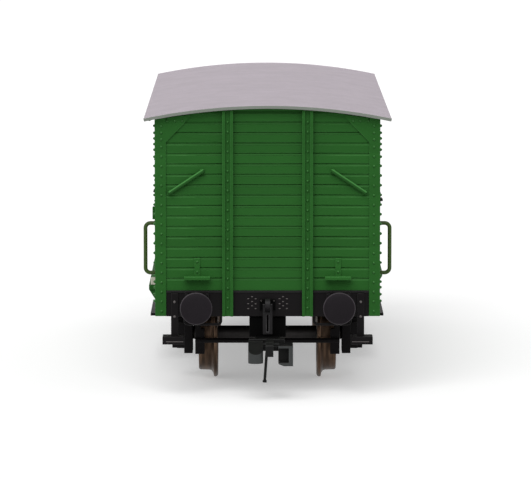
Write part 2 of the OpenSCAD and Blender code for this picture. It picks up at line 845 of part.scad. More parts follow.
module axle_guard() {
    bracket_y = spring_reach + lap;
    bracket_z = shackle_z + shackle_r;
    hole_z = [axle_z + guard_hole_h, frame_foot_z - guard_rim];
    color(BLACK) difference() {
        union() {
            prism_x(sole_out_x, guard_out_x) difference() {
                polygon([[-guard_half_l, guard_top_z], [guard_half_l, guard_top_z],
                         [guard_half_l, frame_foot_z], [guard_leg_w, axle_z + guard_shoulder_h],
                         [guard_leg_w, guard_foot_z], [-guard_leg_w, guard_foot_z],
                         [-guard_leg_w, axle_z + guard_shoulder_h], [-guard_half_l, frame_foot_z]]);
                for (side = [-1, 1])
                    polygon([[side * guard_hole_y[0], hole_z[0]], [side * guard_hole_y[0], hole_z[1]],
                             [side * guard_hole_y[2], hole_z[1]], [side * guard_hole_y[1], hole_z[0]]]);
            }
            for (side = [-1, 1])
                block([guard_out_x - lap, side * bracket_y - shackle_half, bracket_z],
                      [leaf_mid_x + leaf_w / 2 - lap, side * bracket_y + shackle_half,
                       bracket_z + shackle_h]);
        }
        translate([0, 0, axle_z]) rod_x(sole_out_x - cut, guard_out_x + cut, cup_d, $fn);
    }
}

module axle_box() {
    color(BLACK) difference() {
        union() {
            block([guard_out_x, -box_w / 2, axle_z - box_h[0]],
                  [guard_out_x + box_d * box_body_share, box_w / 2, axle_z + box_h[2]]);
            block([guard_out_x, box_lid_inset - box_w / 2, axle_z - box_h[0]],
                  [box_out_x, box_w / 2 - box_lid_inset, axle_z + box_h[1]]);
            translate([0, 0, axle_z - lap]) rod_x(guard_out_x, box_out_x + lap, box_w * box_body_share, $fn);
            block([guard_out_x, -box_seat_half, axle_z + box_h[2] - lap],
                  [leaf_mid_x + leaf_w / 2, box_seat_half, box_top_z]);
        }
        translate([0, 0, axle_z]) rod_x(guard_out_x - cut, cup_end_x + fit_gap, cup_d, $fn);
    }
}

module bearing_cup() {
    taper = (axle_d / 2 - axle_tip_r) / axle_cone_l;
    mouth_x = sole_out_x;
    mouth_r = axle_d / 2 - (mouth_x - axle_shoulder_x) * taper + cup_gap;
    floor_x = axle_l / 2 + cup_gap;
    floor_r = mouth_r - (floor_x - mouth_x) * taper;
    color(BRASS) translate([0, 0, axle_z]) rotate([0, 90, 0]) difference() {
        translate([0, 0, mouth_x]) cylinder(d = cup_d, h = cup_end_x - mouth_x);
        translate([0, 0, mouth_x]) cylinder(r1 = mouth_r, r2 = floor_r, h = floor_x - mouth_x);
        translate([0, 0, mouth_x - cut]) cylinder(r = mouth_r, h = cut + 0.001);
    }
}

module leaf(i) {
    reach = spring_reach * (1 - leaf_step * i);
    in_r = spring_bend_r + i * leaf_t;
    intersection() {
        translate([0, 0, spring_top_z + spring_bend_r]) rotate([0, 90, 0]) difference() {
            cylinder(r = in_r + leaf_t, h = leaf_w, center = true, $fn = ARC_FN);
            cylinder(r = in_r, h = leaf_w + cut, center = true, $fn = ARC_FN);
        }
        translate([0, 0, spring_foot_z]) cube([leaf_w * 2, reach * 2, spring_bend_r / 4], center = true);
    }
}

module leaf_spring() {
    color(BLACK) translate([leaf_mid_x, 0, 0]) union() {
        for (i = [0 : leaf_count - 1]) leaf(i);
        block([-leaf_w / 2 - buckle_over, -buckle_half_l, box_top_z],
              [leaf_w / 2 + buckle_over, buckle_half_l, spring_top_z + 2 * buckle_over]);
        for (side = [-1, 1]) translate([0, side * (spring_reach + lap), shackle_z])
            rod_x(-leaf_w / 2, leaf_w / 2, 2 * shackle_r);
    }
}

// ---- Brakes ----

// Block and hanger on the +Y side of a wheel
module brake_shoe() {
    color(BLACK) union() {
        intersection() {
            translate([shoe_x, 0, axle_z]) rotate([0, 90, 0]) difference() {
                cylinder(r = shoe_r + shoe_t, h = shoe_w, center = true, $fn = 96);
                cylinder(r = shoe_r, h = shoe_w + cut, center = true, $fn = 96);
            }
            block([shoe_x - shoe_w, 0, shoe_z[0]], [shoe_x + shoe_w, tread_d, shoe_z[1]]);
        }
        block([hanger_x, hanger_y, axle_z + hanger_foot_h],
              [hanger_x + hanger_w, hanger_y + hanger_w, frame_foot_z]);
    }
}

module brake_shoe_pair() {
    brake_shoe();
    mirror([0, 1, 0]) brake_shoe();
}

module brake_beam(y) {
    color(BLACK) translate([0, y, beam_z]) rod_x(-shoe_x - shoe_w / 2, shoe_x + shoe_w / 2, beam_d);
}

// The two beams of an axle at y = 0, with the brake lever on the inner one at +Y
module brake_beam_pair() {
    brake_beam(-beam_y);
    color(BLACK) union() {
        brake_beam(beam_y);
        block([-lever_t / 2, beam_y - crank_half, beam_z],
              [lever_t / 2, beam_y + crank_half, pull_rod_z - rod_d / 2]);
    }
}

module pull_rod() {
    reach = axle_y - beam_y + rod_d;
    color(BLACK) union() {
        translate([0, 0, pull_rod_z]) rod_y(-reach, reach, rod_d);
        prism_y(crank_y, crank_t)
            polygon([[-crank_half, pull_rod_z - lap], [crank_half, pull_rod_z - lap],
                     [brake_cyl_x + crank_half, brake_cyl_z + crank_half],
                     [brake_cyl_x - crank_half, brake_cyl_z + crank_half]]);
    }
}

module brake_cyl() {
    color(BLACK) union() {
        translate([brake_cyl_x, 0, brake_cyl_z]) {
            rod_y(brake_cyl_y[0], brake_cyl_y[1], brake_cyl_d, $fn);
            rod_y(brake_cyl_y[0] + cyl_collar_l, brake_cyl_y[0] + 2 * cyl_collar_l,
                  brake_cyl_d + cyl_collar_l, $fn);
            rod_y(brake_cyl_y[1], crank_y - crank_t / 2 - fit_gap, cyl_rod_d);
        }
        block([brake_cyl_x - cyl_foot_half, brake_cyl_y[0] + 3 * cyl_collar_l, brake_cyl_z],
              [brake_cyl_x + cyl_foot_half, brake_cyl_y[1] - cyl_collar_l, frame_top_z]);
    }
}

module reservoir() {
    mid_z = frame_top_z - reservoir_gap - reservoir_d / 2;
    color(BLACK) union() {
        translate([0, reservoir_y, mid_z]) {
            rod_x(-reservoir_l / 2, reservoir_l / 2, reservoir_d, $fn);
            rod_x(-reservoir_l / 2 - reservoir_end_l, reservoir_l / 2 + reservoir_end_l,
                  reservoir_d * 0.7, $fn);
        }
        for (side = [-1, 1]) translate([side * reservoir_l * 0.3, reservoir_y, 0]) {
            translate([0, 0, mid_z]) rod_x(-strap_half, strap_half, reservoir_d + 2 * strap_proud, $fn);
            block([-strap_half, -reservoir_d / 2, mid_z], [strap_half, reservoir_d / 2, frame_top_z]);
        }
    }
}

// ---- Wheelsets, about their own axle ----

module wheel() {
    tread_r = tread_d / 2;
    color(BRONZE) rotate([0, 90, 0]) rotate_extrude($fn = 96) polygon([
        [bush_d / 2, wheel_back_x], [hub_r, wheel_back_x], [hub_r, wheel_back_x + wheel_dish],
        [rim_in_r, wheel_back_x + wheel_dish], [rim_in_r, wheel_back_x],
        [flange_r - flange_w / 3, wheel_back_x], [flange_r - flange_w / 12, wheel_back_x + flange_w / 5],
        [flange_r, wheel_back_x + flange_w / 2], [flange_r - flange_w / 6, wheel_back_x + flange_w * 3 / 4],
        [tread_r, wheel_back_x + flange_w], [tread_r - wheel_chamfer / 3, wheel_face_x - wheel_chamfer],
        [tread_r - wheel_chamfer, wheel_face_x],
        [rim_in_r, wheel_face_x], [rim_in_r, wheel_face_x - wheel_dish],
        [hub_r, wheel_face_x - wheel_dish], [hub_r, wheel_face_x], [bush_d / 2, wheel_face_x]
    ]);
}

module bush() {
    color(BLACK) rotate([0, 90, 0]) translate([0, 0, wheel_back_x]) difference() {
        cylinder(d = bush_d, h = wheel_w);
        translate([0, 0, -cut]) cylinder(d = axle_d, h = wheel_w + 2 * cut);
    }
}

module axle() {
    color(STEEL) rotate([0, 90, 0]) union() {
        translate([0, 0, -axle_shoulder_x]) cylinder(d = axle_d, h = 2 * axle_shoulder_x);
        for (turn = [0, 180]) rotate([0, turn, 0]) translate([0, 0, axle_shoulder_x])
            cylinder(r1 = axle_d / 2, r2 = axle_tip_r, h = axle_cone_l);
    }
}

module at_axle(end) {
    translate([0, end * axle_y, axle_z]) children();
}

// ---- Buffers, made at the front right ----

module buffer_sleeve() {
    half = buffer_base_w / 2;
    color(BLACK) translate([buffer_x, -end_y, buffer_z]) difference() {
        union() {
            block([-half, -base_plate_t, -half], [half, 0, half]);
            rod_y(boss_y, -lap, buffer_base_w * boss_share, $fn);
            rod_y(collar_y, boss_y + lap, plunger_d + collar_over, $fn);
            rod_y(-sleeve_l, collar_y + lap, plunger_d + sleeve_over, $fn);
            rod_y(-sleeve_l, sleeve_rim_l - sleeve_l, plunger_d + sleeve_rim_over, $fn);
        }
        rod_y(-sleeve_l - cut, sleeve_floor_y, 2 * sleeve_bore_r, $fn);
    }
}

// The head is a slice of a ball in front of a flat disc, on a round plunger
module buffer_head() {
    head_r = buffer_head_d / 2;
    crown_r = (pow(head_r, 2) + pow(buffer_crown, 2)) / (2 * buffer_crown);
    rim_y = buffer_crown - buffer_l;
    back_y = rim_y + buffer_head_t;
    color(BLACK) translate([buffer_x, -end_y, buffer_z]) union() {
        rod_y(back_y - lap, plunger_in - sleeve_l, plunger_d, $fn);
        rod_y(back_y - lap, back_y + head_boss_l, plunger_d + head_boss_over, $fn);
        rod_y(rim_y, back_y, buffer_head_d, 96);
        intersection() {
            translate([0, crown_r - buffer_l, 0]) sphere(r = crown_r, $fn = 180);
            rod_y(-buffer_l - cut, rim_y + lap, buffer_head_d, 96);
        }
    }
}

// ---- Draw gear on the front headstock ----

module draw_hook() {
    half = draw_hook_w / 2;
    color(BLACK) translate([0, -end_y, 0]) union() {
        block([-hook_plate_w / 2, -hook_plate_t, hook_plate_z[0]], [hook_plate_w / 2, 0, hook_plate_z[1]]);
        translate([0, 0, buffer_z - lap]) prism_x(-half, half) difference() {
            union() {
                translate([draw_hook_shank_y[0], -draw_hook_shank_h / 2])
                    square([draw_hook_shank_y[1] - draw_hook_shank_y[0], draw_hook_shank_h]);
                translate([draw_hook_y, 0]) circle(r = draw_hook_r, $fn = 32);
            }
            translate([draw_hook_y + draw_hook_eye_r / 3, draw_hook_eye_r / 2])
                circle(r = draw_hook_eye_r, $fn = 32);
            translate([draw_hook_y - draw_hook_mouth_w / 3, draw_hook_eye_r])
                square([draw_hook_mouth_w, draw_hook_r]);
        }
    }
}

// A flat link that hangs in front of the hook: two straps, a top pin bar and a bottom bow
module screw_link() {
    foot_z = pocket_z[1] + link_bow_h;
    color(BLACK) translate([0, link_y, 0]) union() {
        both_sides() {
            block([link_half - link_strap, -link_t / 2, foot_z], [link_half, link_t / 2, buffer_z + fit_gap]);
            block([link_half - link_plate_w, -link_t / 2, foot_z], [link_half, link_t / 2, link_pin_z]);
        }
        block([-link_half, -link_t / 2, foot_z], [link_half, link_t / 2, foot_z + link_bow_h]);
        block([-link_half, -link_pin_t / 2, link_pin_z - link_bow_h],
              [link_half, link_pin_t / 2, link_pin_z]);
    }
}

module shunter_handle() {
    color(BLACK)
        translate([shunter_x, headstock_t / 2 - end_y, frame_foot_z])
            wire_loop(shunter_w, shunter_h, shunter_d, shunter_bend_r);
}

// ---- Steps and handles ----

module side_grab_handle() {
    color(OLIVE) translate([plank_x, -handle_y, handle_z]) rotate([0, -90, 0])
        wire_loop(handle_h, handle_stand, handle_d, handle_bend_r);
}

module end_grab_rod() {
    color(GREEN) translate([grab_rod_low[0], -end_y, grab_rod_low[1]]) {
        translate([0, -grab_rod_stand, 0]) rotate([0, atan2(grab_rod_run[0], grab_rod_run[1]), 0])
            translate([0, 0, -grab_rod_end])
                cylinder(d = handle_d, h = norm(grab_rod_run) + 2 * grab_rod_end, $fn = WIRE_FN);
        for (at = [[0, 0], grab_rod_run]) translate([at[0], 0, at[1]])
            rod_y(-grab_rod_stand, 0, handle_d + lap);
    }
}

module end_step() {
    half = end_step_w / 2;
    color(GREEN) translate([end_step_x, -end_y, end_step_z]) union() {
        block([-half, -end_step_d, -end_step_t], [half, 0, 0]);
        block([-half, -end_step_d, -end_step_lip_h], [half, end_step_t - end_step_d, 0]);
        block([-end_step_strap_w / 2, -end_step_strap_t, -end_step_lip_h],
              [end_step_strap_w / 2, 0, end_step_strap_h]);
    }
}

// A step on a flat bar that is bolted to the front of the headstock
module corner_step() {
    tread_x = [step_bar_x[0] - corner_tread_over[0], step_bar_x[1] + corner_tread_over[1]];
    tread_y = [-end_y - corner_tread_half_d, corner_tread_half_d - end_y];
    color(BLACK) union() {
        block([step_bar_x[0], -end_y - step_bar_t, corner_step_z - lap],
              [step_bar_x[1], -end_y, frame_top_z - step_bar_top_gap]);
        block([tread_x[0], tread_y[0], corner_step_z - step_t], [tread_x[1], tread_y[1], corner_step_z]);
        block([tread_x[0], tread_y[0], corner_step_z - corner_tread_lip_h],
              [tread_x[1], tread_y[0] + step_t, corner_step_z]);
    }
}

// The long step under a door, on sloping flat hangers from the sole bar
module door_step() {
    half_l = door_half + door_tread_over;
    tread_w = door_tread_x[1] - door_tread_x[0];
    color(BLACK) union() {
        block([door_tread_x[0], -half_l, door_step_z - step_t], [door_tread_x[1], half_l, door_step_z]);
        for (side = [-1, 1]) prism_y(side * door_half / 2, door_hanger_t)
            polygon([[sole_out_x, frame_foot_z + door_hanger_h[1]],
                     [sole_out_x, frame_foot_z + door_hanger_h[0]],
                     [door_tread_x[0] - lap, door_step_z - step_t],
                     [door_tread_x[1] - tread_w / 3, door_step_z - step_t],
                     [door_tread_x[0] + tread_w / 5, door_step_z + lap],
                     [sole_out_x + door_hanger_t, frame_foot_z + door_hanger_h[1]]]);
    }
}

// ---- Couplers, made at the front ----

module coupler_mount() {
    color(BLACK) translate([0, -coupler_pivot_y, 0]) difference() {
        block([-mount_half, -mount_half, drawbar_z[1] + run_gap + fit_gap],
              [mount_half, mount_half, frame_top_z]);
        translate([0, 0, drawbar_z[1]]) cylinder(d = coupler_screw_d, h = mount_hole_h);
    }
}

module coupler_screw() {
    drawbar_h = drawbar_z[1] - drawbar_z[0];
    head_top_z = drawbar_z[0] - run_gap;
    color(STEEL) translate([0, -coupler_pivot_y, head_top_z]) difference() {
        union() {
            translate([0, 0, -lap]) cylinder(d = coupler_screw_d, h = drawbar_h + screw_in_mount);
            translate([0, 0, -screw_head_h])
                cylinder(d = coupler_screw_d + screw_head_over, h = screw_head_h);
        }
        translate([0, 0, -screw_head_h])
            cube([screw_slot_w, 2 * coupler_screw_d, screw_slot_w], center = true);
    }
}

module drawbar() {
    drawbar_h = drawbar_z[1] - drawbar_z[0];
    color(BLACK) difference() {
        union() {
            translate([0, -coupler_pivot_y, drawbar_z[0]])
                cylinder(d = coupler_screw_d + 2 * pivot_wall, h = drawbar_h);
            block([-drawbar_half_w, -pocket_y[1], drawbar_z[0]],
                  [drawbar_half_w, -coupler_pivot_y, drawbar_z[1]]);
            block([-shaft_half_w, shaft_y[0], pocket_z[1] - 3 * lap],
                  [shaft_half_w, shaft_y[1], drawbar_z[1] + lap]);
            block([-pocket_half_w, -pocket_y[0], pocket_z[0]], [pocket_half_w, -pocket_y[1], pocket_z[1]]);
        }
        translate([0, -coupler_pivot_y, drawbar_z[0] - cut])
            cylinder(d = coupler_screw_d + 2 * pin_gap, h = drawbar_h + 2 * cut);
        block([pocket_wall - pocket_half_w, -pocket_y[0] - cut, pocket_z[0] + pocket_wall],
              [pocket_half_w - pocket_wall, -pocket_y[1] - pocket_wall, pocket_z[1] - pocket_wall]);
    }
}

// Plan of the horn: a bar with a round nose
module horn_plan() {
    nose_r = (horn_x[1] - horn_x[0]) / 2;
    translate([horn_x[0], nose_r - head_front_y])
        square([2 * nose_r, head_front_y - head_back_y - nose_r - 2 * lap]);
    translate([horn_x[0] + nose_r, nose_r - head_front_y]) circle(r = nose_r);
}

module coupler_head() {
    tongue_half_w = pocket_half_w - pocket_wall - fit_gap;
    tongue_z = [pocket_z[0] + pocket_wall + fit_gap, pocket_z[1] - pocket_wall - fit_gap];
    slope_l = horn_slope_from / sin(horn_slope) + lap;
    color(BLACK) difference() {
        union() {
            block([-tongue_half_w, -head_back_y - lap, tongue_z[0]],
                  [tongue_half_w, -pocket_y[1] - 2 * pocket_wall, tongue_z[1]]);
            block([horn_x[0] + lap, -head_bar_y, tongue_z[0]], [head_bar_end_x, -head_back_y, pocket_z[1]]);
            translate([0, 0, horn_z[0]]) linear_extrude(horn_z[1] - horn_z[0]) horn_plan();
            block([socket_x[0], -socket_front_y, socket_z[0]],
                  [socket_x[1], -head_back_y - lap, socket_z[1]]);
            translate([0, -hook_y, hook_z]) rod_x(horn_x[1] - lap, socket_x[0] + lap, hook_pin_d);
        }
        // the sloping top of the horn
        translate([horn_x[0] - lap, -head_front_y, horn_z[1] - horn_slope_from]) rotate([horn_slope, 0, 0])
            cube([horn_x[1] - horn_x[0] + 2 * lap, slope_l, slope_l]);
        // the pocket in the socket, which is open at the front and at its inner side
        block([socket_x[0] - lap, -socket_front_y - cut, socket_z[0] + socket_floor],
              [socket_x[1] - socket_wall, socket_depth - socket_front_y, socket_z[1] - socket_roof]);
        // the bevel under the socket's inner side
        prism_y(-socket_front_y, 2 * coupler_reach)
            polygon([[socket_x[0] - lap, socket_z[0] - lap], [socket_x[0] + socket_bevel[0], socket_z[0] - lap],
                     [socket_x[0] - lap, socket_z[0] + socket_bevel[1]]]);
    }
}

module uncoupling_hook() {
    arm_top = hook_ring_r * 0.9;
    pin_l = hook_z - drop_pin_z - drop_pin_d;
    color(BLACK) difference() {
        union() {
            translate([0, -hook_nose_y, hook_z]) prism_x(hook_x[0], hook_x[1]) union() {
                translate([hook_nose_y - hook_y, 0]) circle(r = hook_ring_r);
                polygon([[hook_nose_y - hook_y, arm_top], [0.7, 0.55], [0, 0.1], [0, -1.5], [0.6, -1.5],
                         [0.9, -0.65], [hook_nose_y - hook_y, -arm_top]]);
            }
            translate([hook_x[0] + drop_pin_d / 2, -hook_y - hook_ring_r, hook_z - drop_pin_d])
                rotate([180, drop_pin_lean, 0]) {
                    cylinder(d = drop_pin_d, h = pin_l, $fn = WIRE_FN);
                    translate([0, 0, pin_l - drop_foot_h])
                        cylinder(d = drop_foot_d, h = drop_foot_h, $fn = WIRE_FN);
                }
        }
        translate([0, -hook_y, hook_z])
            rod_x(hook_x[0] - cut, hook_x[1] + cut, hook_pin_d + 2 * pin_gap, WIRE_FN);
    }
}

// ---- Nodes ----

module left() { rotate([0, 0, 180]) children(); }
module rear() { rotate([0, 0, 180]) children(); }

left() side_wall();  // side_wall_left
side_wall();  // side_wall_right
end_wall();  // end_wall_front
rear() end_wall();  // end_wall_rear
roof_sheet();  // roof
floor_sheet();  // floor_plate
ballast_bar();  // ballast_weight
seat_tray();  // seat_unit
window_panes();  // window_glass
left() door_rail();  // door_rail_left
door_rail();  // door_rail_right
both_ends() door_guide();  // door_guides
both_ends() door_stop();  // door_stops
both_ends() rail_end_stop();  // rail_end_stops
both_ends() both_sides() side_grab_handle();  // grab_handles
both_ends() both_sides() end_grab_rod();  // end_grab_rods
both_ends() both_sides() end_step();  // end_steps
both_sides() sole_bar();  // sole_bars
for (y = bearer_ys) both_ends() cross_bearer(y);  // cross_bearers
headstock();  // headstock_front
rear() headstock();  // headstock_rear
at_wheels() axle_guard();  // axle_guards
at_wheels() axle_box();  // axle_boxes
at_wheels() bearing_cup();  // bearing_cups
at_wheels() leaf_spring();  // leaf_springs
at_wheels() brake_shoe_pair();  // brake_shoes
both_ends() translate([0, -axle_y, 0]) brake_beam_pair();  // brake_beams
brake_cyl();  // brake_cylinder
reservoir();  // air_reservoir
pull_rod();  // brake_rod
both_ends() both_sides() buffer_sleeve();  // buffer_sleeves
both_ends() draw_hook();  // draw_hooks
both_ends() screw_link();  // screw_links
both_ends() both_sides() shunter_handle();  // shunter_handles
both_ends() both_sides() corner_step();  // corner_steps
both_ends() door_step();  // door_steps
both_ends() coupler_mount();  // coupler_mounts
both_ends() coupler_screw();  // coupler_screws
at_axle(-1) axle();  // axle_front
at_axle(-1) both_sides() wheel();  // wheels_front
at_axle(-1) both_sides() bush();  // wheel_bushes_front
at_axle(1) axle();  // axle_rear
at_axle(1) both_sides() wheel();  // wheels_rear
at_axle(1) both_sides() bush();  // wheel_bushes_rear
left() door_panel();  // door_panel_left
left() door_fittings();  // door_fittings_left
door_panel();  // door_panel_right
door_fittings();  // door_fittings_right
drawbar();  // drawbar_front
coupler_head();  // coupler_head_front
uncoupling_hook();  // uncoupling_hook_front
rear() drawbar();  // drawbar_rear
rear() coupler_head();  // coupler_head_rear
rear() uncoupling_hook();  // uncoupling_hook_rear
mirror([1, 0, 0]) buffer_head();  // buffer_front_left
buffer_head();  // buffer_front_right
rear() buffer_head();  // buffer_rear_left
rear() mirror([1, 0, 0]) buffer_head();  // buffer_rear_right
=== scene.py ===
"""Looks of a two-axle model passenger coach, built around its CAD frame.

Pieces are modelled in millimetres, in the coach's own axes, and turned into metres when they
are finished. X runs across the coach, Y along it and Z up; the front end faces -Y.
"""

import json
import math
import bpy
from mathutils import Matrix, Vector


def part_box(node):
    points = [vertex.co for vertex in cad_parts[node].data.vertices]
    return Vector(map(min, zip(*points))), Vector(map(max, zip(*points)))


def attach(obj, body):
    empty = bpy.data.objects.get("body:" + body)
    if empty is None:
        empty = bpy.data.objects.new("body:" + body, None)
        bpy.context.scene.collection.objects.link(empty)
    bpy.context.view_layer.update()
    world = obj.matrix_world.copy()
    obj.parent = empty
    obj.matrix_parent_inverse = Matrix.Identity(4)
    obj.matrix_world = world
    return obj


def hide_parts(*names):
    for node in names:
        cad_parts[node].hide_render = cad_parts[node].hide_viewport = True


bl_info = {
    "name": "Model Coach",
    "version": (1, 0, 0),
    "blender": (4, 5, 0),
    "location": "3D View > Sidebar > Coach",
    "description": "Builds the looks of a model passenger coach around its CAD frame",
    "category": "Object",
}

import bmesh
import bpy
from bpy.props import FloatProperty, FloatVectorProperty, PointerProperty
from mathutils import Matrix, Vector

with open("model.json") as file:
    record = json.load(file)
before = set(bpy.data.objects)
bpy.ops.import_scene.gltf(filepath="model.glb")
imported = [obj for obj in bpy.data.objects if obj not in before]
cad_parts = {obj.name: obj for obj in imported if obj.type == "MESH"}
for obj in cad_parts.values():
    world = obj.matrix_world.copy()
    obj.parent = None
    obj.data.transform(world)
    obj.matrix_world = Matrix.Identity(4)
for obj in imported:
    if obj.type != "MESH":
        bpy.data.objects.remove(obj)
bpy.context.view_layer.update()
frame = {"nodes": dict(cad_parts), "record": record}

MM = 0.001
NODES = frame["nodes"]
BODY_OF = {
    node: body
    for body, nodes in frame["record"]["behaviour"]["bodies"].items()
    for node in nodes
}
SLOT_OF = {part["node"]: part["material_slot"] for part in frame["record"]["subparts"]}
COACH = BODY_OF["roof"]
SIDES = (-1, 1)


def span(node):
    """The lowest and highest corners of a CAD node, in millimetres."""
    low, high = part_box(node)
    return low / MM, high / MM


def linear(*levels):
    """A scene colour from display levels of 0 to 255."""
    shares = [level / 255 for level in levels]
    return tuple(s / 12.92 if s < 0.04045 else ((s + 0.055) / 1.055) ** 2.4 for s in shares)


# ---- Sizes taken from the frame's boxes, in millimetres ----

ROOF_LOW, ROOF_HIGH = span("roof")
STOCK_LOW, STOCK_HIGH = span("headstock_front")
DOOR_LOW, DOOR_HIGH = span("door_panel_right")

PLANK_END_Y = STOCK_LOW.y
CORNER_X = STOCK_HIGH.x
POST_OUT_X = span("end_wall_front")[1].x
EAVES_Z = ROOF_LOW.z
FRAME_TOP_Z = STOCK_HIGH.z

# ---- Sizes and places that the frame's boxes don't show, in millimetres ----

# Roof: its thickness, and the drop and slope of the bead along each end.
ROOF_T = 0.45
BEAD_DROP = 0.09
BEAD_SLOPE = 0.1

# Body: posts and boards, and the outline of a gusset's top as (x, height over the eaves).
END_POST_X = 5.66
END_POST_LEAF = 0.4
CORNER_PROUD = 0.25
MID_POST_Y = 27.3
DOOR_POST_EDGE_Y = 8.95
BOARD_PITCH = 1.48
FIRST_BOARD_Z = FRAME_TOP_Z + 1.78
GUSSET_TOP = ((11.55, -0.02), (10.95, 0.62), (10.95, 0.9), (14.3, 0.5), (14.3, -0.02))

# Sliding doors: the start and inset of the rail stops, and the rivets of the stiles, as their
# inset and what they leave free at the foot and the head.
RAIL_STOP_Y = 26.4
RAIL_STOP_INSET = 0.27
STILE_INSET = 0.55
STILE_FREE = (0.6, 1.4)

# Underframe: the strip on top of each headstock, a painted highlight, from its front and from
# the frame's top, and how much of the draw hooks and links is painted near-black as shade at their
# foot.
STRIP_Y = (-0.12, 0.1)
STRIP_Z = (-0.32, -0.02)
HOOK_FOOT = 0.4

# Wheelsets: axle places, and the width and disc of a wheel.
AXLE_Y = 25.85
AXLE_Z = 6.5
TYRE_T = 2.8
DISC_RADIUS = 4.38

# Buffers: places, base plates and bolts, and a sleeve's section as (radius, distance forward).
BUFFER_X = 10.06
BUFFER_Z = 13.2
BUFFER_FOOT_Y = 46.3
# BUFFER_LIT_RIM: the band round each head's rim that is painted lighter, as a painted highlight.
BUFFER_LIT_RIM = 0.15
BASE_PLATE_HALF = 1.7
BASE_PLATE_T = 0.45
BASE_BOLTS = (1.42, 1.3)
BASE_BOLTS_Y = 46.75
SLEEVE = ((0, 0.6), (1.01, 0.6), (1.01, 4.6), (1.38, 4.6), (1.45, 4.53), (1.45, 4.2), (1.3, 4.14),
          (1.3, 2.75), (1.5, 2.6), (1.5, 1.5), (1.56, 1.3), (1.615, 1.2), (1.615, 0.3), (0, 0.3))

# Couplers: the part of a head's nose painted grey as a reflection.
NOSE_DEPTH = 1.5
NOSE_TOP_Z = 7.9

# Handles and steps: where the grab rods meet the boards as (x, z), and the pale strips along
# the corner steps' lips, which are painted highlights.
GRAB_ROD_ENDS = ((13.7, 29.03), (9.25, 31.98))
ROD_PLATE_HALF = 0.3
ROD_PLATE_T = 0.22
LIP_X = (11.95, 14.4)
LIP_Y = (-0.04, 0.06)
LIP_Z = (7.8, 7.9)

# Rivets of the body: rows as (top, lowest), and the single heights over and under them.
END_POST_ROW = (38.95, 12.0)
CORNER_RIVET_X = 15.05
CORNER_ROW_TOP = [38.4, 37.45, 36.5, 35.45]
CORNER_ROW = (34.08, 11.8)
SIDE_RIVET_Y = 45.75
SIDE_ROW_TOP = [38.4, 37.4, 36.6, 35.8, 35.0, 34.0]
SIDE_ROW = (32.7, 17.9)
SIDE_ROW_FOOT = [17.05, 16.2, 15.4, 14.4, 13.45]
DOOR_STOP_Z = (22.8, 25.6)
GUSSET_RIVETS_X = (12.1, 13.1, 14.2)
GUSSET_RIVETS_Z = 39.12
STEP_STRAP_X = 10.0
STEP_STRAP_T = 0.22
STEP_STRAP_RIVETS_Z = (19.1, 17.65)

# Rivets and bolts of the underframe: groups as (x, heights) or (height, places along).
STOCK_RIVETS = ((1.7, (13.8, 13.1, 12.4)), (2.2, (14.1, 13.4, 12.8)), (2.75, (13.8, 13.1, 12.4)))
STEP_BAR_X = 13.21
STEP_BAR_T = 0.35
STEP_BAR_BOLTS_Z = (13.4, 11.3)
HOOK_PLATE_T = 0.3
HOOK_PLATE_BOLT = (0.9, 13.55)
GUARD_OUT_X = 12.15
GUARD_BOLTS = ((13.5, (-6.2, -4.4, -2.2, 0, 2.2, 4.4, 6.2)), (12.2, (-6.2, 6.2)))


# ---- Settings ----

class CoachPaints(bpy.types.PropertyGroup):
    """Colours of the coach's materials."""

    body: FloatVectorProperty(
        name="Body", description="Colour of the planked body and its doors",
        subtype="COLOR", min=0, max=1, default=linear(38, 88, 35))
    roof: FloatVectorProperty(
        name="Roof", description="Colour of the roof sheet",
        subtype="COLOR", min=0, max=1, default=linear(181, 172, 180))
    frame: FloatVectorProperty(
        name="Underframe", description="Colour of the underframe and its running gear",
        subtype="COLOR", min=0, max=1, default=linear(18, 16, 17))
    coupler: FloatVectorProperty(
        name="Couplers", description="Colour of the coupler mouldings",
        subtype="COLOR", min=0, max=1, default=linear(20, 20, 20))
    buffer: FloatVectorProperty(
        name="Buffers", description="Colour of the buffer heads",
        subtype="COLOR", min=0, max=1, default=linear(24, 20, 24))
    handle: FloatVectorProperty(
        name="Handles", description="Colour of the wire grab handles",
        subtype="COLOR", min=0, max=1, default=linear(60, 80, 38))
    bench: FloatVectorProperty(
        name="Benches", description="Colour of the benches and inner floor",
        subtype="COLOR", min=0, max=1, default=linear(140, 98, 56))
    tyre: FloatVectorProperty(
        name="Tyres", description="Colour of the metal wheel tyres",
        subtype="COLOR", min=0, max=1, default=linear(88, 70, 56))


class CoachSizes(bpy.types.PropertyGroup):
    """Sizes of the surface details."""

    rivet_width: FloatProperty(
        name="Rivet width", description="Width of a rivet head",
        unit="LENGTH", precision=5, min=0.0002, max=0.0008, default=0.00038)
    rivet_height: FloatProperty(
        name="Rivet height", description="Height of a rivet head over its plate",
        unit="LENGTH", precision=5, min=0.0001, max=0.0003, default=0.00018)
    rivet_pitch: FloatProperty(
        name="Rivet pitch", description="Distance between the rivets of a post",
        unit="LENGTH", precision=5, min=0.001, max=0.003, default=0.001377)
    easing: FloatProperty(
        name="Edge easing", description="Width of the rounding on moulded edges",
        unit="LENGTH", precision=5, min=0.00001, max=0.0001, default=0.00005)
    roof_bead: FloatProperty(
        name="Roof bead", description="Width of the bead along each end of the roof",
        unit="LENGTH", precision=5, min=0.0002, max=0.001, default=0.0005)


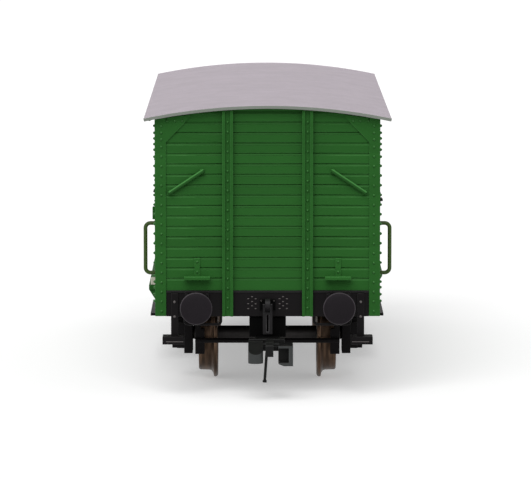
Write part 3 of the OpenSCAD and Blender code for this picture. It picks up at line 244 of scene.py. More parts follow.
class CoachStudio(bpy.types.PropertyGroup):
    """Light and camera."""

    key: FloatProperty(
        name="Key light", description="Strength of the soft key light",
        min=0, max=10, default=1.95)
    key_height: FloatProperty(
        name="Key height", description="Angle of the key light over the floor",
        subtype="ANGLE", min=0.2, max=1.5, default=math.radians(48))
    key_softness: FloatProperty(
        name="Key softness", description="Angle that the key light seems to fill",
        subtype="ANGLE", min=0.01, max=1.5, default=math.radians(50))
    sky: FloatProperty(
        name="Sky", description="Strength of the even light from all round",
        min=0, max=2, default=0.5)
    distance: FloatProperty(
        name="Camera distance", description="How far the camera stands in front of the middle",
        unit="LENGTH", min=0.2, max=5, default=0.6895)
    height: FloatProperty(
        name="Camera height", description="Height of the camera over the rail tops",
        unit="LENGTH", min=0, max=2, default=0.0886)
    tilt: FloatProperty(
        name="Camera tilt", description="How far the camera looks down",
        subtype="ANGLE", min=0, max=1.5, default=math.radians(5.894))
    lens: FloatProperty(
        name="Lens", description="Focal length of the camera in millimetres",
        min=20, max=600, default=309.2)


# ---- Shader wiring ----

class Wire:
    """A socket in a node tree. Arithmetic on wires adds Math nodes, and node() adds any node."""

    def __init__(self, tree, socket=None):
        self.tree = tree
        self.socket = socket

    def node(self, kind, settings=None, inputs=None, out=0):
        """Adds a node, sets it up, fills its inputs and gives the wire of one output, if any."""
        added = self.tree.nodes.new("ShaderNode" + kind)
        for name, value in (settings or {}).items():
            setattr(added, name, value)
        for name, value in (inputs or {}).items():
            if isinstance(value, Wire):
                self.tree.links.new(value.socket, added.inputs[name])
            else:
                added.inputs[name].default_value = value
        return Wire(self.tree, added.outputs[out]) if added.outputs else None

    def math(self, operation, first, second=0.0):
        """Adds a Math node with two inputs."""
        return self.node("Math", {"operation": operation}, {0: first, 1: second})

    def __add__(self, other):
        return self.math("ADD", self, other)

    def __sub__(self, other):
        return self.math("SUBTRACT", self, other)

    def __mul__(self, other):
        return self.math("MULTIPLY", self, other)


def spot(wire, stretch=(1, 1, 1)):
    """Object coordinates, squeezed by a factor along each axis."""
    place = wire.node("TexCoord", out="Object")
    return wire.node("Mapping", inputs={"Vector": place, "Scale": stretch})


def noise(wire, place, size, detail):
    """Noise from 0 to 1 with blotches of a size in millimetres."""
    inputs = {"Vector": place, "Scale": 1 / (size * MM), "Detail": detail}
    return wire.node("TexNoise", inputs=inputs)


def between(wire, value, low, high):
    """0 where a value is under low, 1 where it is over high, and even in between."""
    return wire.node("MapRange", inputs={"Value": value, "From Min": low, "From Max": high})


def blend(wire, share, low, high):
    """A colour that goes from one to another."""
    ends = [c if isinstance(c, Wire) else (*c[:3], 1.0) for c in (low, high)]
    return wire.node("Mix", {"data_type": "RGBA"}, {0: share, 6: ends[0], 7: ends[1]}, out=2)


def eased_share(wire):
    """1 on the faces of eased edges, and 0 elsewhere."""
    return wire.node("Attribute", {"attribute_name": "eased"}, out="Fac")


def rays(wire, *kinds):
    """The sum of the Light Path outputs for some kinds of ray."""
    outputs = [wire.node("LightPath", out=f"Is {kind} Ray") for kind in kinds]
    return sum(outputs[1:], outputs[0])


def shade(colour, factor):
    """A darker or lighter tone of a colour."""
    return tuple(min(level * factor, 1.0) for level in colour[:3])


def toward(colour, other, share):
    """A colour part of the way to another."""
    return tuple(a + (b - a) * share for a, b in zip(colour[:3], other))


def upward(wire, low=0.3, high=1.0):
    """How far a face looks up, from 0 to 1."""
    normal = wire.node("TexCoord", out="Normal")
    height = wire.node("SeparateXYZ", inputs={"Vector": normal}, out="Z")
    return between(wire, height, low, high)


def relief(wire, height, depth):
    """The normal of a surface whose height goes from 0 to 1 over a depth in millimetres."""
    return wire.node("Bump", inputs={"Height": height, "Distance": depth * MM, "Strength": 0.8})


def new_material(name, viewport):
    """An empty material and the wire that starts its tree."""
    material = bpy.data.materials.new("coach_" + name)
    material.use_nodes = True
    material.diffuse_color = (*viewport[:3], 1.0)
    material.node_tree.nodes.clear()
    return material, Wire(material.node_tree)


def finish_tree(wire, shader, kind):
    """Ends a tree in a shader."""
    wire.node("Output" + kind, inputs={"Surface": shader})


def surface(wire, **sockets):
    """Ends a tree in a Principled shader with the given sockets."""
    named = {name.replace("_", " "): value for name, value in sockets.items()}
    finish_tree(wire, wire.node("BsdfPrincipled", inputs=named), "Material")


DUST = linear(120, 114, 104)
# EDGE_LIGHT_TINT: the grey that edges painted lighter lean towards, partly as abrasion and partly
# as a painted highlight.
EDGE_LIGHT_TINT = (0.5, 0.5, 0.48)
# TOP_HIGHLIGHT_FADE: how softly the painted highlight on upward faces fades in.
TOP_HIGHLIGHT_FADE = 0.22


def moulded(name, colour, roughness=0.5, specular=0.08, grain=0.14, depth=0.012, tone=0.1,
            dust=0.05, edge_wear_and_highlight=0.25, edge_lightness=1.5, top_highlight=0.0, top_highlight_from=0.5, stretch=(1, 1, 1),
            boards=False):
    """Moulded or painted plastic: faint blotches, fine grain, dust, and painted light on edges and
    tops.

    grain and depth are the size and depth of the grain in millimetres, and tone is how far the
    colour varies. wear is how much of each eased edge is painted lighter, partly as abrasion and
    partly as a painted highlight, and worn how much lighter it is there. rubbed is a painted
    highlight on faces that look up by more than top_highlight_from. boards gives each board a tone
    of its own and painted shade in the joints.
    """
    material, wire = new_material(name, colour)
    place = spot(wire)
    blotches = noise(wire, place, size=5.0, detail=3.0)
    fine = noise(wire, spot(wire, stretch), size=grain, detail=2.0)
    share = blotches * 0.6 + fine * 0.4
    if boards:
        height = wire.node("SeparateXYZ", inputs={"Vector": place}, out="Z")
        board = wire.math("FLOOR", (height - FIRST_BOARD_Z * MM) * (1 / (BOARD_PITCH * MM)))
        tint = wire.node("TexWhiteNoise", {"noise_dimensions": "1D"}, {"W": board + 0.5})
        share = share * 0.7 + tint * 0.3
    base = blend(wire, between(wire, share, low=0.3, high=0.7), shade(colour, 1 - tone),
                 shade(colour, 1 + tone))
    # Eased edges painted lighter: partly abrasion, partly a painted highlight.
    edge = eased_share(wire)
    patchy_share = between(wire, noise(wire, place, size=1.2, detail=3.0), low=0.35, high=0.65)
    lighter = toward(shade(colour, edge_lightness), EDGE_LIGHT_TINT, 0.04)
    base = blend(wire, edge * (patchy_share * 0.5 + 0.5) * edge_wear_and_highlight, base, lighter)
    # Painted shade in the joints between boards, darkest at the deep side of each slope.
    if boards:
        deep = wire.node("Attribute", {"attribute_name": "deep"}, out="Fac")
        base = blend(wire, deep * 0.95, base, shade(colour, 0.16))
    # A painted highlight on faces that look up.
    if top_highlight:
        lit_tops = upward(wire, top_highlight_from, top_highlight_from + TOP_HIGHLIGHT_FADE)
        base = blend(wire, lit_tops * top_highlight, base, shade(lighter, 1.3))
    base = blend(wire, upward(wire) * patchy_share * dust, base, DUST)
    rough = blotches * 0.16 + fine * 0.12 + (roughness - 0.14) - edge * 0.1
    surface(wire, Base_Color=base, Roughness=rough, Specular_IOR_Level=specular,
            Normal=relief(wire, fine, depth))
    return material


def turned_metal(name, colour, roughness, axis_squeeze=(60, 1, 1), metallic=1.0, contrast=0.15,
                 grime=0.3):
    """Turned or rolled metal: fine tool lines, dull patches and a little grime."""
    material, wire = new_material(name, colour)
    lines = noise(wire, spot(wire, axis_squeeze), size=4.0, detail=2.0)
    patches = between(wire, noise(wire, spot(wire), size=2.5, detail=4.0), low=0.4, high=0.7)
    base = blend(wire, between(wire, lines, low=0.35, high=0.65), shade(colour, 1 - contrast),
                 shade(colour, 1 + contrast))
    base = blend(wire, patches * grime, base, shade(colour, 0.45))
    surface(wire, Base_Color=base, Metallic=metallic,
            Roughness=lines * 0.15 + patches * 0.15 + roughness,
            Normal=relief(wire, lines, depth=0.006))
    return material


def planed_wood(name, colour):
    """Stained wood with its grain across the coach."""
    material, wire = new_material(name, colour)
    grain = noise(wire, spot(wire, (1, 14, 14)), size=6.0, detail=4.0)
    pores = noise(wire, spot(wire, (1, 20, 20)), size=1.5, detail=2.0)
    base = blend(wire, between(wire, grain, low=0.3, high=0.7), shade(colour, 0.6),
                 shade(colour, 1.2))
    base = blend(wire, eased_share(wire) * 0.4, base, shade(colour, 1.5))
    surface(wire, Base_Color=base, Roughness=pores * 0.2 + 0.42, Specular_IOR_Level=0.3,
            Normal=relief(wire, pores, depth=0.02))
    return material


def clear_pane(name, colour):
    """Thin clear plastic with a haze of dust."""
    material, wire = new_material(name, colour)
    haze = between(wire, noise(wire, spot(wire), size=3.0, detail=4.0), low=0.35, high=0.75)
    surface(wire, Base_Color=blend(wire, haze, shade(colour, 0.8), colour),
            Roughness=haze * 0.12 + 0.04, Alpha=haze * 0.08 + 0.2, Specular_IOR_Level=0.5)
    return material


def make_finishes(paints):
    """The material of every slot, and of the details that have none."""
    green = tuple(paints.body)
    return (
        # wear and worn paint eased edges lighter, partly as abrasion and partly as a painted
        # highlight, and rubbed paints a highlight on faces that look up. body_green also gets
        # painted shade in its board joints.
        moulded("body_green", green, roughness=0.55, specular=0.06, grain=1.2, tone=0.08,
                edge_wear_and_highlight=0.65, edge_lightness=1.8, stretch=(1, 1, 9), boards=True),
        # A lighter copy of the body green with a painted highlight on top, for the rivets.
        moulded("rivet_green_highlit", shade(green, 1.12), roughness=0.42, specular=0.2, edge_wear_and_highlight=0.0,
                edge_lightness=1.6, top_highlight=0.8),
        # A darker copy of the body green with a painted highlight along the top: painted shade and
        # highlight on the rods.
        moulded("rod_green_shaded_highlit", shade(green, 0.8), roughness=0.42, specular=0.07, dust=0.0,
                edge_wear_and_highlight=0.2, edge_lightness=2.5, top_highlight=0.8, top_highlight_from=0.27),
        # A lighter copy of the body green, as painted light on the steps, with a painted highlight
        # on top.
        moulded("step_green_lit", shade(green, 1.12), roughness=0.45, specular=0.07, dust=0.0,
                edge_wear_and_highlight=0.5, edge_lightness=1.7, top_highlight=0.5),
        moulded("roof_grey", tuple(paints.roof), roughness=0.65, grain=0.3, depth=0.014,
                tone=0.09, dust=0.08, edge_wear_and_highlight=0.3),
        # Darker grey-green: painted shade and a painted green reflection on the roof's end faces.
        moulded("roof_edge_shade", linear(124, 130, 122), roughness=0.65, grain=0.2, tone=0.06,
                dust=0.0),
        moulded("frame_black", tuple(paints.frame), dust=0.03, edge_wear_and_highlight=0.5, edge_lightness=2.5),
        # A grey lighter than the frame, as a painted highlight along the top of each headstock.
        moulded("strip_highlight_black", linear(33, 33, 33), dust=0.0, edge_wear_and_highlight=0.3),
        # Pale grey: painted glints on the bolts, and painted highlights along the step lips.
        moulded("bolt_glint_grey", linear(92, 87, 87), roughness=0.4, specular=0.2, edge_wear_and_highlight=0.0),
        # Nearly black: painted shade in the coupler pockets, mounts, drawbars and at the feet of
        # the hooks and links.
        moulded("pocket_shade_black", linear(7, 7, 7), roughness=0.6, specular=0.02, dust=0.0,
                edge_wear_and_highlight=0.3),
        # Edges painted much lighter, as painted highlights on the links and hooks.
        moulded("link_black", linear(29, 28, 29), roughness=0.4, specular=0.12, dust=0.0,
                edge_wear_and_highlight=1.0, edge_lightness=7.0),
        # Grey: a painted reflection on the lower front of each coupler nose.
        moulded("nose_reflection_grey", linear(58, 60, 60), roughness=0.4, specular=0.12, dust=0.0,
                edge_wear_and_highlight=0.9, edge_lightness=2.2),
        moulded("coupler_black", tuple(paints.coupler), roughness=0.45, specular=0.1,
                dust=0.02, edge_wear_and_highlight=0.6, edge_lightness=3.0),
        moulded("buffer_black", tuple(paints.buffer), roughness=0.45, specular=0.1, grain=0.2,
                tone=0.3, dust=0.02, edge_wear_and_highlight=0.9, edge_lightness=4.5),
        moulded("stop_cream", linear(192, 190, 174), specular=0.1, tone=0.15),
        moulded("handle_olive", tuple(paints.handle), roughness=0.4, specular=0.15, grain=0.3),
        turned_metal("floor_steel", linear(168, 163, 155), roughness=0.38,
                     axis_squeeze=(1, 30, 1)),
        turned_metal("axle_steel", linear(52, 49, 48), roughness=0.4, metallic=0.6),
        turned_metal("tread_bronze", tuple(paints.tyre), roughness=0.28,
                     axis_squeeze=(9, 1, 1), metallic=0.9, contrast=0.5, grime=0.4),
        turned_metal("cup_brass", linear(176, 141, 67), roughness=0.3),
        planed_wood("bench_brown", tuple(paints.bench)),
        clear_pane("clear_pane", linear(188, 211, 218)),
    )


def finish(name):
    """One of the coach's materials, all of which are made when the first is asked for."""
    if "coach_" + name not in bpy.data.materials:
        for made in make_finishes(bpy.context.scene.coach_paints):
            made.use_fake_user = True
    return bpy.data.materials["coach_" + name]


# ---- Modelling ----

# CREASE: edges that turn by less are smoothed. ROOM: an edge that touches one shorter than so
# many widths isn't eased. MERGE and FLAT: what counts as one point, and as one face, in a CAD
# mesh. BOARD_SLOPE: how far the slopes between boards look up.
CREASE = math.radians(20)
ROOM = 2.8
EASE_STEPS = 2
MERGE = 0.0004
FLAT = math.radians(0.4)
BOARD_SLOPE = (0.35, 0.45)
HALF_TURN = Matrix.Rotation(math.pi, 4, "Z")


def smooth(bm):
    """Smooths every face."""
    for face in bm.faces:
        face.smooth = True


def ease(bm, width):
    """Rounds the outer edges that have room for it, and smooths what is curved."""
    layer = bm.faces.layers.float.get("eased") or bm.faces.layers.float.new("eased")
    smooth(bm)
    tight = {vert for edge in bm.edges if edge.calc_length() < ROOM * width for vert in edge.verts}
    corners = []
    for edge in bm.edges:
        edge.smooth = edge.calc_face_angle(0) < CREASE
        if not edge.smooth and edge.is_convex and tight.isdisjoint(edge.verts):
            corners.append(edge)
    if not corners:
        return
    made = bmesh.ops.bevel(bm, geom=corners, offset=width, offset_type="OFFSET", affect="EDGES",
                           segments=EASE_STEPS, profile=0.5, material=-1, clamp_overlap=False)
    strips = set(made["faces"])
    for face in strips:
        face.smooth = True
        face[layer] = 1.0
        for edge in face.edges:
            edge.smooth = all(other in strips for other in edge.link_faces)


def add_piece(name, bm, body, finishes, stands_for=()):
    """Turns a model in millimetres into a piece that rides on a body.

    finishes are its materials, and stands_for the CAD nodes that it replaces.
    """
    bmesh.ops.scale(bm, vec=(MM, MM, MM), verts=bm.verts)
    mesh = bpy.data.meshes.new(name)
    bm.to_mesh(mesh)
    bm.free()
    for made in finishes:
        mesh.materials.append(finish(made))
    piece = bpy.data.objects.new(name, mesh)
    bpy.context.scene.collection.objects.link(piece)
    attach(piece, body)
    if stands_for:
        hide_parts(*stands_for)


def second_finish(bm, chosen):
    """Gives the chosen faces their piece's second material."""
    for face in bm.faces:
        face.material_index = int(chosen(face))


def mark_groove_shade(bm):
    """Marks the deep side of the slopes between boards, where shade is painted."""
    deep = bm.loops.layers.float.new("deep")
    for face in bm.faces:
        if BOARD_SLOPE[0] < face.normal.z < BOARD_SLOPE[1]:
            middle = face.calc_center_median().z
            for loop in face.loops:
                loop[deep] = float(loop.vert.co.z > middle)


def soften(*nodes, factor=1.0, made_of=None, second=None, chosen=None):
    """Copies of CAD nodes with eased edges, which stand for them.

    factor widens the easing. made_of is the material, where it isn't that of the slot, and
    second the one of the faces that chosen picks.
    """
    width = bpy.context.scene.coach_sizes.easing / MM * factor
    for node in nodes:
        slot = SLOT_OF[node]
        finishes = [made_of or slot]
        bm = bmesh.new()
        bm.from_mesh(NODES[node].data)
        bmesh.ops.scale(bm, vec=(1 / MM, 1 / MM, 1 / MM), verts=bm.verts)
        bmesh.ops.remove_doubles(bm, verts=bm.verts, dist=MERGE)
        bmesh.ops.dissolve_limit(bm, angle_limit=FLAT, verts=bm.verts, edges=bm.edges)
        ease(bm, width)
        # Body green walls carry painted shade in their board joints.
        if slot == "body_green":
            mark_groove_shade(bm)
        second_finish(bm, chosen or (lambda face: False))
        if second:
            finishes.append(second)
        add_piece(node + "_eased", bm, BODY_OF[node], finishes, [node])


def keep(*nodes):
    """Gives CAD nodes that keep their shape the material of their slot."""
    for node in nodes:
        for slot in NODES[node].material_slots:
            slot.material = finish(SLOT_OF[node])


def block(bm, corner, opposite):
    """A box between two opposite corners."""
    low = Vector([min(pair) for pair in zip(corner, opposite)])
    high = Vector([max(pair) for pair in zip(corner, opposite)])
    place = Matrix.Translation((low + high) / 2) @ Matrix.Diagonal((*(high - low), 1))
    bmesh.ops.create_cube(bm, size=1, matrix=place)


def turned(bm, profile, centre, axis, steps):
    """A solid turned about an axis from (radius, along) pairs, closed by the axis or by a loop."""
    centre, axis = Vector(centre), Vector(axis)
    side = axis.orthogonal().normalized()
    verts = [bm.verts.new(centre + side * radius + axis * along) for radius, along in profile]
    edges = [bm.edges.new(pair) for pair in zip(verts, verts[1:])]
    if profile[0][0] > 0 and profile[-1][0] > 0:
        edges.append(bm.edges.new((verts[-1], verts[0])))
    bmesh.ops.spin(bm, geom=verts + edges, cent=centre, axis=axis, angle=2 * math.pi,
                   steps=steps, use_merge=True)


def settle(bm):
    """Merges doubles and points the faces outwards."""
    bmesh.ops.remove_doubles(bm, verts=bm.verts, dist=0.0005)
    bmesh.ops.recalc_face_normals(bm, faces=bm.faces)


def facing(at, out):
    """A place whose Z axis points outwards."""
    return Matrix.Translation(at) @ Vector(out).to_track_quat("Z", "Y").to_matrix().to_4x4()


def dome(bm, at, out, width, height, tall=None):
    """A rivet head, sunk to its widest part. tall is its other width, where it isn't round."""
    place = facing(at, out) @ Matrix.Diagonal((width / 2, (tall or width) / 2, height, 1))
    bmesh.ops.create_uvsphere(bm, u_segments=8, v_segments=6, radius=1, matrix=place)


def hexagon(bm, at, out, width, height):
    """A hexagon bolt head, sunk a little at its foot."""
    place = facing(Vector(at) + Vector(out) * height / 2, out)
    bmesh.ops.create_cone(bm, cap_ends=True, segments=6, radius1=width / 2, radius2=width * 0.42,
                          depth=height * 1.2, matrix=place)


def falling(top, low, pitch):
    """Places from the top down, a pitch apart."""
    return [top - pitch * i for i in range(int((top - low) / pitch) + 1)]


def steps_between(low, high, pitch):
    """Even places from low to high, about a pitch apart."""
    count = max(1, round((high - low) / pitch))
    return [low + (high - low) * i / count for i in range(count + 1)]


def verts_in(geom):
    """The vertices in what a bmesh operator gives back."""
    return [item for item in geom if isinstance(item, bmesh.types.BMVert)]


def turn_to_rear(bm):
    """Adds the same again at the other end, turned half a turn."""
    copy = bmesh.ops.duplicate(bm, geom=bm.verts[:] + bm.edges[:] + bm.faces[:])
    bmesh.ops.rotate(bm, cent=(0, 0, 0), matrix=HALF_TURN, verts=verts_in(copy["geom"]))


# ---- Pieces ----

class CoachBuilder:
    """What the operators of the coach share."""

    bl_options = {"REGISTER", "UNDO"}

    def execute(self, context):
        """Builds the operator's pieces."""
        self.build(context.scene)
        return {"FINISHED"}


class COACH_OT_body(CoachBuilder, bpy.types.Operator):
    """Planked walls with eased boards, posts and gussets"""

    bl_idname = "coach.body"
    bl_label = "Body walls"

    def build(self, scene):
        soften("side_wall_left", "side_wall_right", "end_wall_front", "end_wall_rear",
               "door_guides", "door_stops")
        bm = bmesh.new()
        front_y, sunk = PLANK_END_Y - CORNER_PROUD, 0.05
        for side in SIDES:
            face = bm.faces.new([bm.verts.new((side * x, front_y, EAVES_Z + over))
                                 for x, over in GUSSET_TOP])
            made = bmesh.ops.extrude_face_region(bm, geom=[face])["geom"]
            bmesh.ops.translate(bm, vec=(0, CORNER_PROUD + sunk, 0), verts=verts_in(made))
        bmesh.ops.recalc_face_normals(bm, faces=bm.faces)
        turn_to_rear(bm)
        add_piece("gusset_tops", bm, COACH, ["body_green"])


class COACH_OT_roof(CoachBuilder, bpy.types.Operator):
    """Arched roof sheet with a bead along each end"""

    bl_idname = "coach.roof"
    bl_label = "Roof"

    def build(self, scene):
        half_w, half_l = ROOF_HIGH.x, ROOF_HIGH.y
        rise = ROOF_HIGH.z - ROOF_LOW.z - ROOF_T
        inner = (half_w ** 2 + rise ** 2) / (2 * rise)
        mid_z = EAVES_Z + rise - inner
        half_turn = math.asin(half_w / (inner + ROOF_T))
        bead = scene.coach_sizes.roof_bead / MM
        crest = inner + ROOF_T
        top = crest - BEAD_DROP
        bead_end = half_l - bead
        slope_end = bead_end - BEAD_SLOPE
        outline = [(-half_l, inner), (half_l, inner), (half_l, crest), (bead_end, crest),
                   (slope_end, top), (-slope_end, top), (-bead_end, crest), (-half_l, crest)]
        bm = bmesh.new()
        face = bm.faces.new([bm.verts.new((0, y, mid_z + r)) for y, r in outline])
        bmesh.ops.rotate(bm, cent=(0, 0, mid_z), verts=bm.verts,
                         matrix=Matrix.Rotation(-half_turn, 3, "Y"))
        bmesh.ops.spin(bm, geom=[face] + face.edges[:] + face.verts[:], cent=(0, 0, mid_z),
                       axis=(0, 1, 0), angle=2 * half_turn, steps=56)
        settle(bm)
        ease(bm, 0.05)
        # End faces in a darker grey-green, as painted shade and a painted green reflection.
        second_finish(bm, lambda face: abs(face.calc_center_median().y) > half_l - 0.01)
        add_piece("roof_sheet", bm, COACH, ["roof_grey", "roof_edge_shade"], ["roof"])


class COACH_OT_doors(CoachBuilder, bpy.types.Operator):
    """Sliding doors, their fittings and the rails they run on"""

    bl_idname = "coach.doors"
    bl_label = "Sliding doors"

    def build(self, scene):
        soften("door_panel_left", "door_panel_right", "door_fittings_left", "door_fittings_right",
               "door_rail_left", "door_rail_right")
        bm = bmesh.new()
        low, high = span("rail_end_stops")
        for side in SIDES:
            block(bm, (side * (DOOR_LOW.x + 0.02), side * RAIL_STOP_Y, low.z),
                  (side * (high.x - RAIL_STOP_INSET), side * high.y, high.z))
        ease(bm, 0.12)
        add_piece("rail_stop_blocks", bm, COACH, ["stop_cream"], ["rail_end_stops"])

        width = scene.coach_sizes.rivet_width / MM * 0.8
        stile_y = DOOR_HIGH.y - STILE_INSET
        foot, head = DOOR_LOW.z + STILE_FREE[0], DOOR_HIGH.z - STILE_FREE[1]
        for side, body in ((1, "door_right"), (-1, "door_left")):
            bm = bmesh.new()
            for y in (-stile_y, stile_y):
                for z in steps_between(foot, head, 2 * BOARD_PITCH):
                    dome(bm, (side * DOOR_HIGH.x, y, z), (side, 0, 0), width, height=0.1)
            smooth(bm)
            add_piece(body + "_rivets", bm, body, ["rivet_green_highlit"])


class COACH_OT_inside(CoachBuilder, bpy.types.Operator):
    """Window panes, floor, ballast and benches"""

    bl_idname = "coach.inside"
    bl_label = "Windows and inside"

    def build(self, scene):
        keep("floor_plate", "ballast_weight", "window_glass")
        soften("seat_unit")


class COACH_OT_underframe(CoachBuilder, bpy.types.Operator):
    """Headstocks, sole bars, bearers, mounts and brake gear"""

    bl_idname = "coach.underframe"
    bl_label = "Underframe"

    def build(self, scene):
        # Mounts and screws in near-black, as painted shade.
        soften("coupler_mounts", "coupler_screws", made_of="pocket_shade_black")
        soften("headstock_front", "headstock_rear", "sole_bars", "cross_bearers",
               "brake_shoes", "brake_beams", "brake_cylinder", "air_reservoir", "brake_rod")
        # The feet of the hooks and links by the headstock are near-black, as painted shade.
        soften("draw_hooks", "screw_links", made_of="link_black", second="pocket_shade_black",
               chosen=lambda face: abs(face.calc_center_median().y) < HOOK_FOOT - PLANK_END_Y)
        # A lighter strip along the top of each headstock, as a painted highlight.
        bm = bmesh.new()
        block(bm, (-CORNER_X, PLANK_END_Y + STRIP_Y[0], FRAME_TOP_Z + STRIP_Z[0]),
              (CORNER_X, PLANK_END_Y + STRIP_Y[1], FRAME_TOP_Z + STRIP_Z[1]))
        turn_to_rear(bm)
        ease(bm, 0.04)
        add_piece("headstock_highlight_strips", bm, COACH, ["strip_highlight_black"])


class COACH_OT_running_gear(CoachBuilder, bpy.types.Operator):
    """Axle guards, boxes, springs and bearing cups"""

    bl_idname = "coach.running_gear"
    bl_label = "Running gear"

    def build(self, scene):
        soften("axle_guards", "axle_boxes", "bearing_cups", "leaf_springs")


class COACH_OT_wheelsets(CoachBuilder, bpy.types.Operator):
    """Wheels turned from a tyre profile on plain axles"""

    bl_idname = "coach.wheelsets"
    bl_label = "Wheelsets"

    def build(self, scene):
        soften("axle_front", "axle_rear", "wheel_bushes_front", "wheel_bushes_rear")
        face = span("wheels_front")[1].x
        back = face - TYRE_T
        section = [(4.4, face), (4.4, face - 0.5), (4.1, face - 0.85), (2.6, face - 0.85),
                   (2.3, face - 0.6), (2.3, face), (1.5, face), (1.5, back), (2.3, back),
                   (2.3, back + 0.6), (2.6, back + 0.85), (4.1, back + 0.85),
                   (4.4, back + 0.5), (4.4, back), (6.2, back), (6.4, back + 0.14),
                   (6.5, back + 0.4), (6.42, back + 0.6), (5.9, back + 0.72),
                   (5.56, back + 0.95), (5.48, back + 1.3), (5.43, face - 0.2), (5.3, face)]
        for end, body in ((-1, "wheelset_front"), (1, "wheelset_rear")):
            bm = bmesh.new()
            for side in SIDES:
                turned(bm, section, (0, end * AXLE_Y, AXLE_Z), (side, 0, 0), steps=72)
            settle(bm)
            ease(bm, 0.06)

            def on_disc(face):
                middle = face.calc_center_median()
                return math.hypot(middle.y - end * AXLE_Y, middle.z - AXLE_Z) < DISC_RADIUS

            second_finish(bm, on_disc)
            node = body.replace("wheelset", "wheels")
            add_piece(node + "_turned", bm, body, ["tread_bronze", "frame_black"],
                      [node])


class COACH_OT_buffers(CoachBuilder, bpy.types.Operator):
    """Buffer heads and sleeves, turned, with bolted base plates"""

    bl_idname = "coach.buffers"
    bl_label = "Buffers"

    def build(self, scene):
        for end, end_name in ((-1, "front"), (1, "rear")):
            for side_name in ("left", "right"):
                node = f"buffer_{end_name}_{side_name}"
                low, high = span(node)
                middle = ((low.x + high.x) / 2, end * BUFFER_FOOT_Y, BUFFER_Z)
                rim = (high.x - low.x) / 2
                head = [(0, 7.1), (0.35 * rim, 7.08), (0.7 * rim, 7.0), (rim - 0.2, 6.92),
                        (rim - 0.08, 6.88), (rim, 6.8), (rim, 6.62), (rim - 0.1, 6.55), (1.6, 6.5),
                        (1.45, 6.38), (1.4, 6.1), (0.95, 6.08), (0.95, 2.4), (0, 2.4)]
                bm = bmesh.new()
                turned(bm, head, middle, (0, end, 0), steps=64)
                settle(bm)
                ease(bm, 0.04)
                # The band round the rim is marked eased, so it is painted lighter as a highlight.
                eased = bm.faces.layers.float["eased"]
                for face in bm.faces:
                    at = face.calc_center_median()
                    if math.hypot(at.x - middle[0], at.z - BUFFER_Z) > rim - BUFFER_LIT_RIM:
                        face[eased] = 1.0
                add_piece(node + "_turned", bm, node, ["buffer_black"], [node])

        bm = bmesh.new()
        half = BASE_PLATE_HALF
        for x in (-BUFFER_X, BUFFER_X):
            turned(bm, SLEEVE, (x, PLANK_END_Y, BUFFER_Z), (0, -1, 0), steps=48)
            block(bm, (x - half, PLANK_END_Y - BASE_PLATE_T, BUFFER_Z - half),
                  (x + half, PLANK_END_Y, BUFFER_Z + half))
        turn_to_rear(bm)
        settle(bm)
        ease(bm, 0.06)
        sleeves = set(bm.faces)
        bolt_x, bolt_z = BASE_BOLTS
        for x in (-BUFFER_X, BUFFER_X):
            for dx in (-bolt_x, bolt_x):
                for dz in (-bolt_z, bolt_z):
                    for end in (-1, 1):
                        hexagon(bm, (x + dx, end * BASE_BOLTS_Y, BUFFER_Z + dz), (0, end, 0),
                                width=0.4, height=0.22)
        second_finish(bm, lambda face: face not in sleeves)
        add_piece("buffer_sleeves_turned", bm, COACH, ["frame_black", "link_black"],
                  ["buffer_sleeves"])


class COACH_OT_couplers(CoachBuilder, bpy.types.Operator):
    """Coupler drawbars, heads and uncoupling hooks"""

    bl_idname = "coach.couplers"
    bl_label = "Couplers"

    def build(self, scene):
        # Drawbars in near-black, as painted shade.
        soften("drawbar_front", "drawbar_rear", made_of="pocket_shade_black")
        soften("uncoupling_hook_front", "uncoupling_hook_rear", factor=1.3)
        nose_y = -span("coupler_head_front")[0].y - NOSE_DEPTH

        # The lower front faces of each nose take a grey that stands for a painted reflection.
        def on_nose(face):
            middle = face.calc_center_median()
            outward = face.normal.y * math.copysign(1, middle.y)
            return (middle.z < NOSE_TOP_Z and abs(middle.y) > nose_y
                    and outward > 0.4 and abs(face.normal.z) < 0.3)

        soften("coupler_head_front", "coupler_head_rear", factor=1.3, second="nose_reflection_grey",
               chosen=on_nose)


class COACH_OT_handles(CoachBuilder, bpy.types.Operator):
    """Grab handles, rods, steps and their hangers"""

    bl_idname = "coach.handles"
    bl_label = "Handles and steps"

    def build(self, scene):
        soften("grab_handles", "shunter_handles", "corner_steps", "door_steps")
        soften("end_grab_rods", made_of="rod_green_shaded_highlit")
        soften("end_steps", made_of="step_green_lit")
        bm = bmesh.new()
        half = ROD_PLATE_HALF
        for side in SIDES:
            for x, z in GRAB_ROD_ENDS:
                block(bm, (side * x - half, PLANK_END_Y - ROD_PLATE_T, z - half),
                      (side * x + half, PLANK_END_Y, z + half))
        turn_to_rear(bm)
        ease(bm, 0.05)
        add_piece("grab_rod_plates", bm, COACH, ["rod_green_shaded_highlit"])

        # Pale strips along the corner steps' lips, as painted highlights.
        step_front = span("corner_steps")[0].y
        bm = bmesh.new()
        for side in SIDES:
            block(bm, (side * LIP_X[0], step_front + LIP_Y[0], LIP_Z[0]),
                  (side * LIP_X[1], step_front + LIP_Y[1], LIP_Z[1]))
        turn_to_rear(bm)
        add_piece("step_lip_highlights", bm, COACH, ["bolt_glint_grey"])


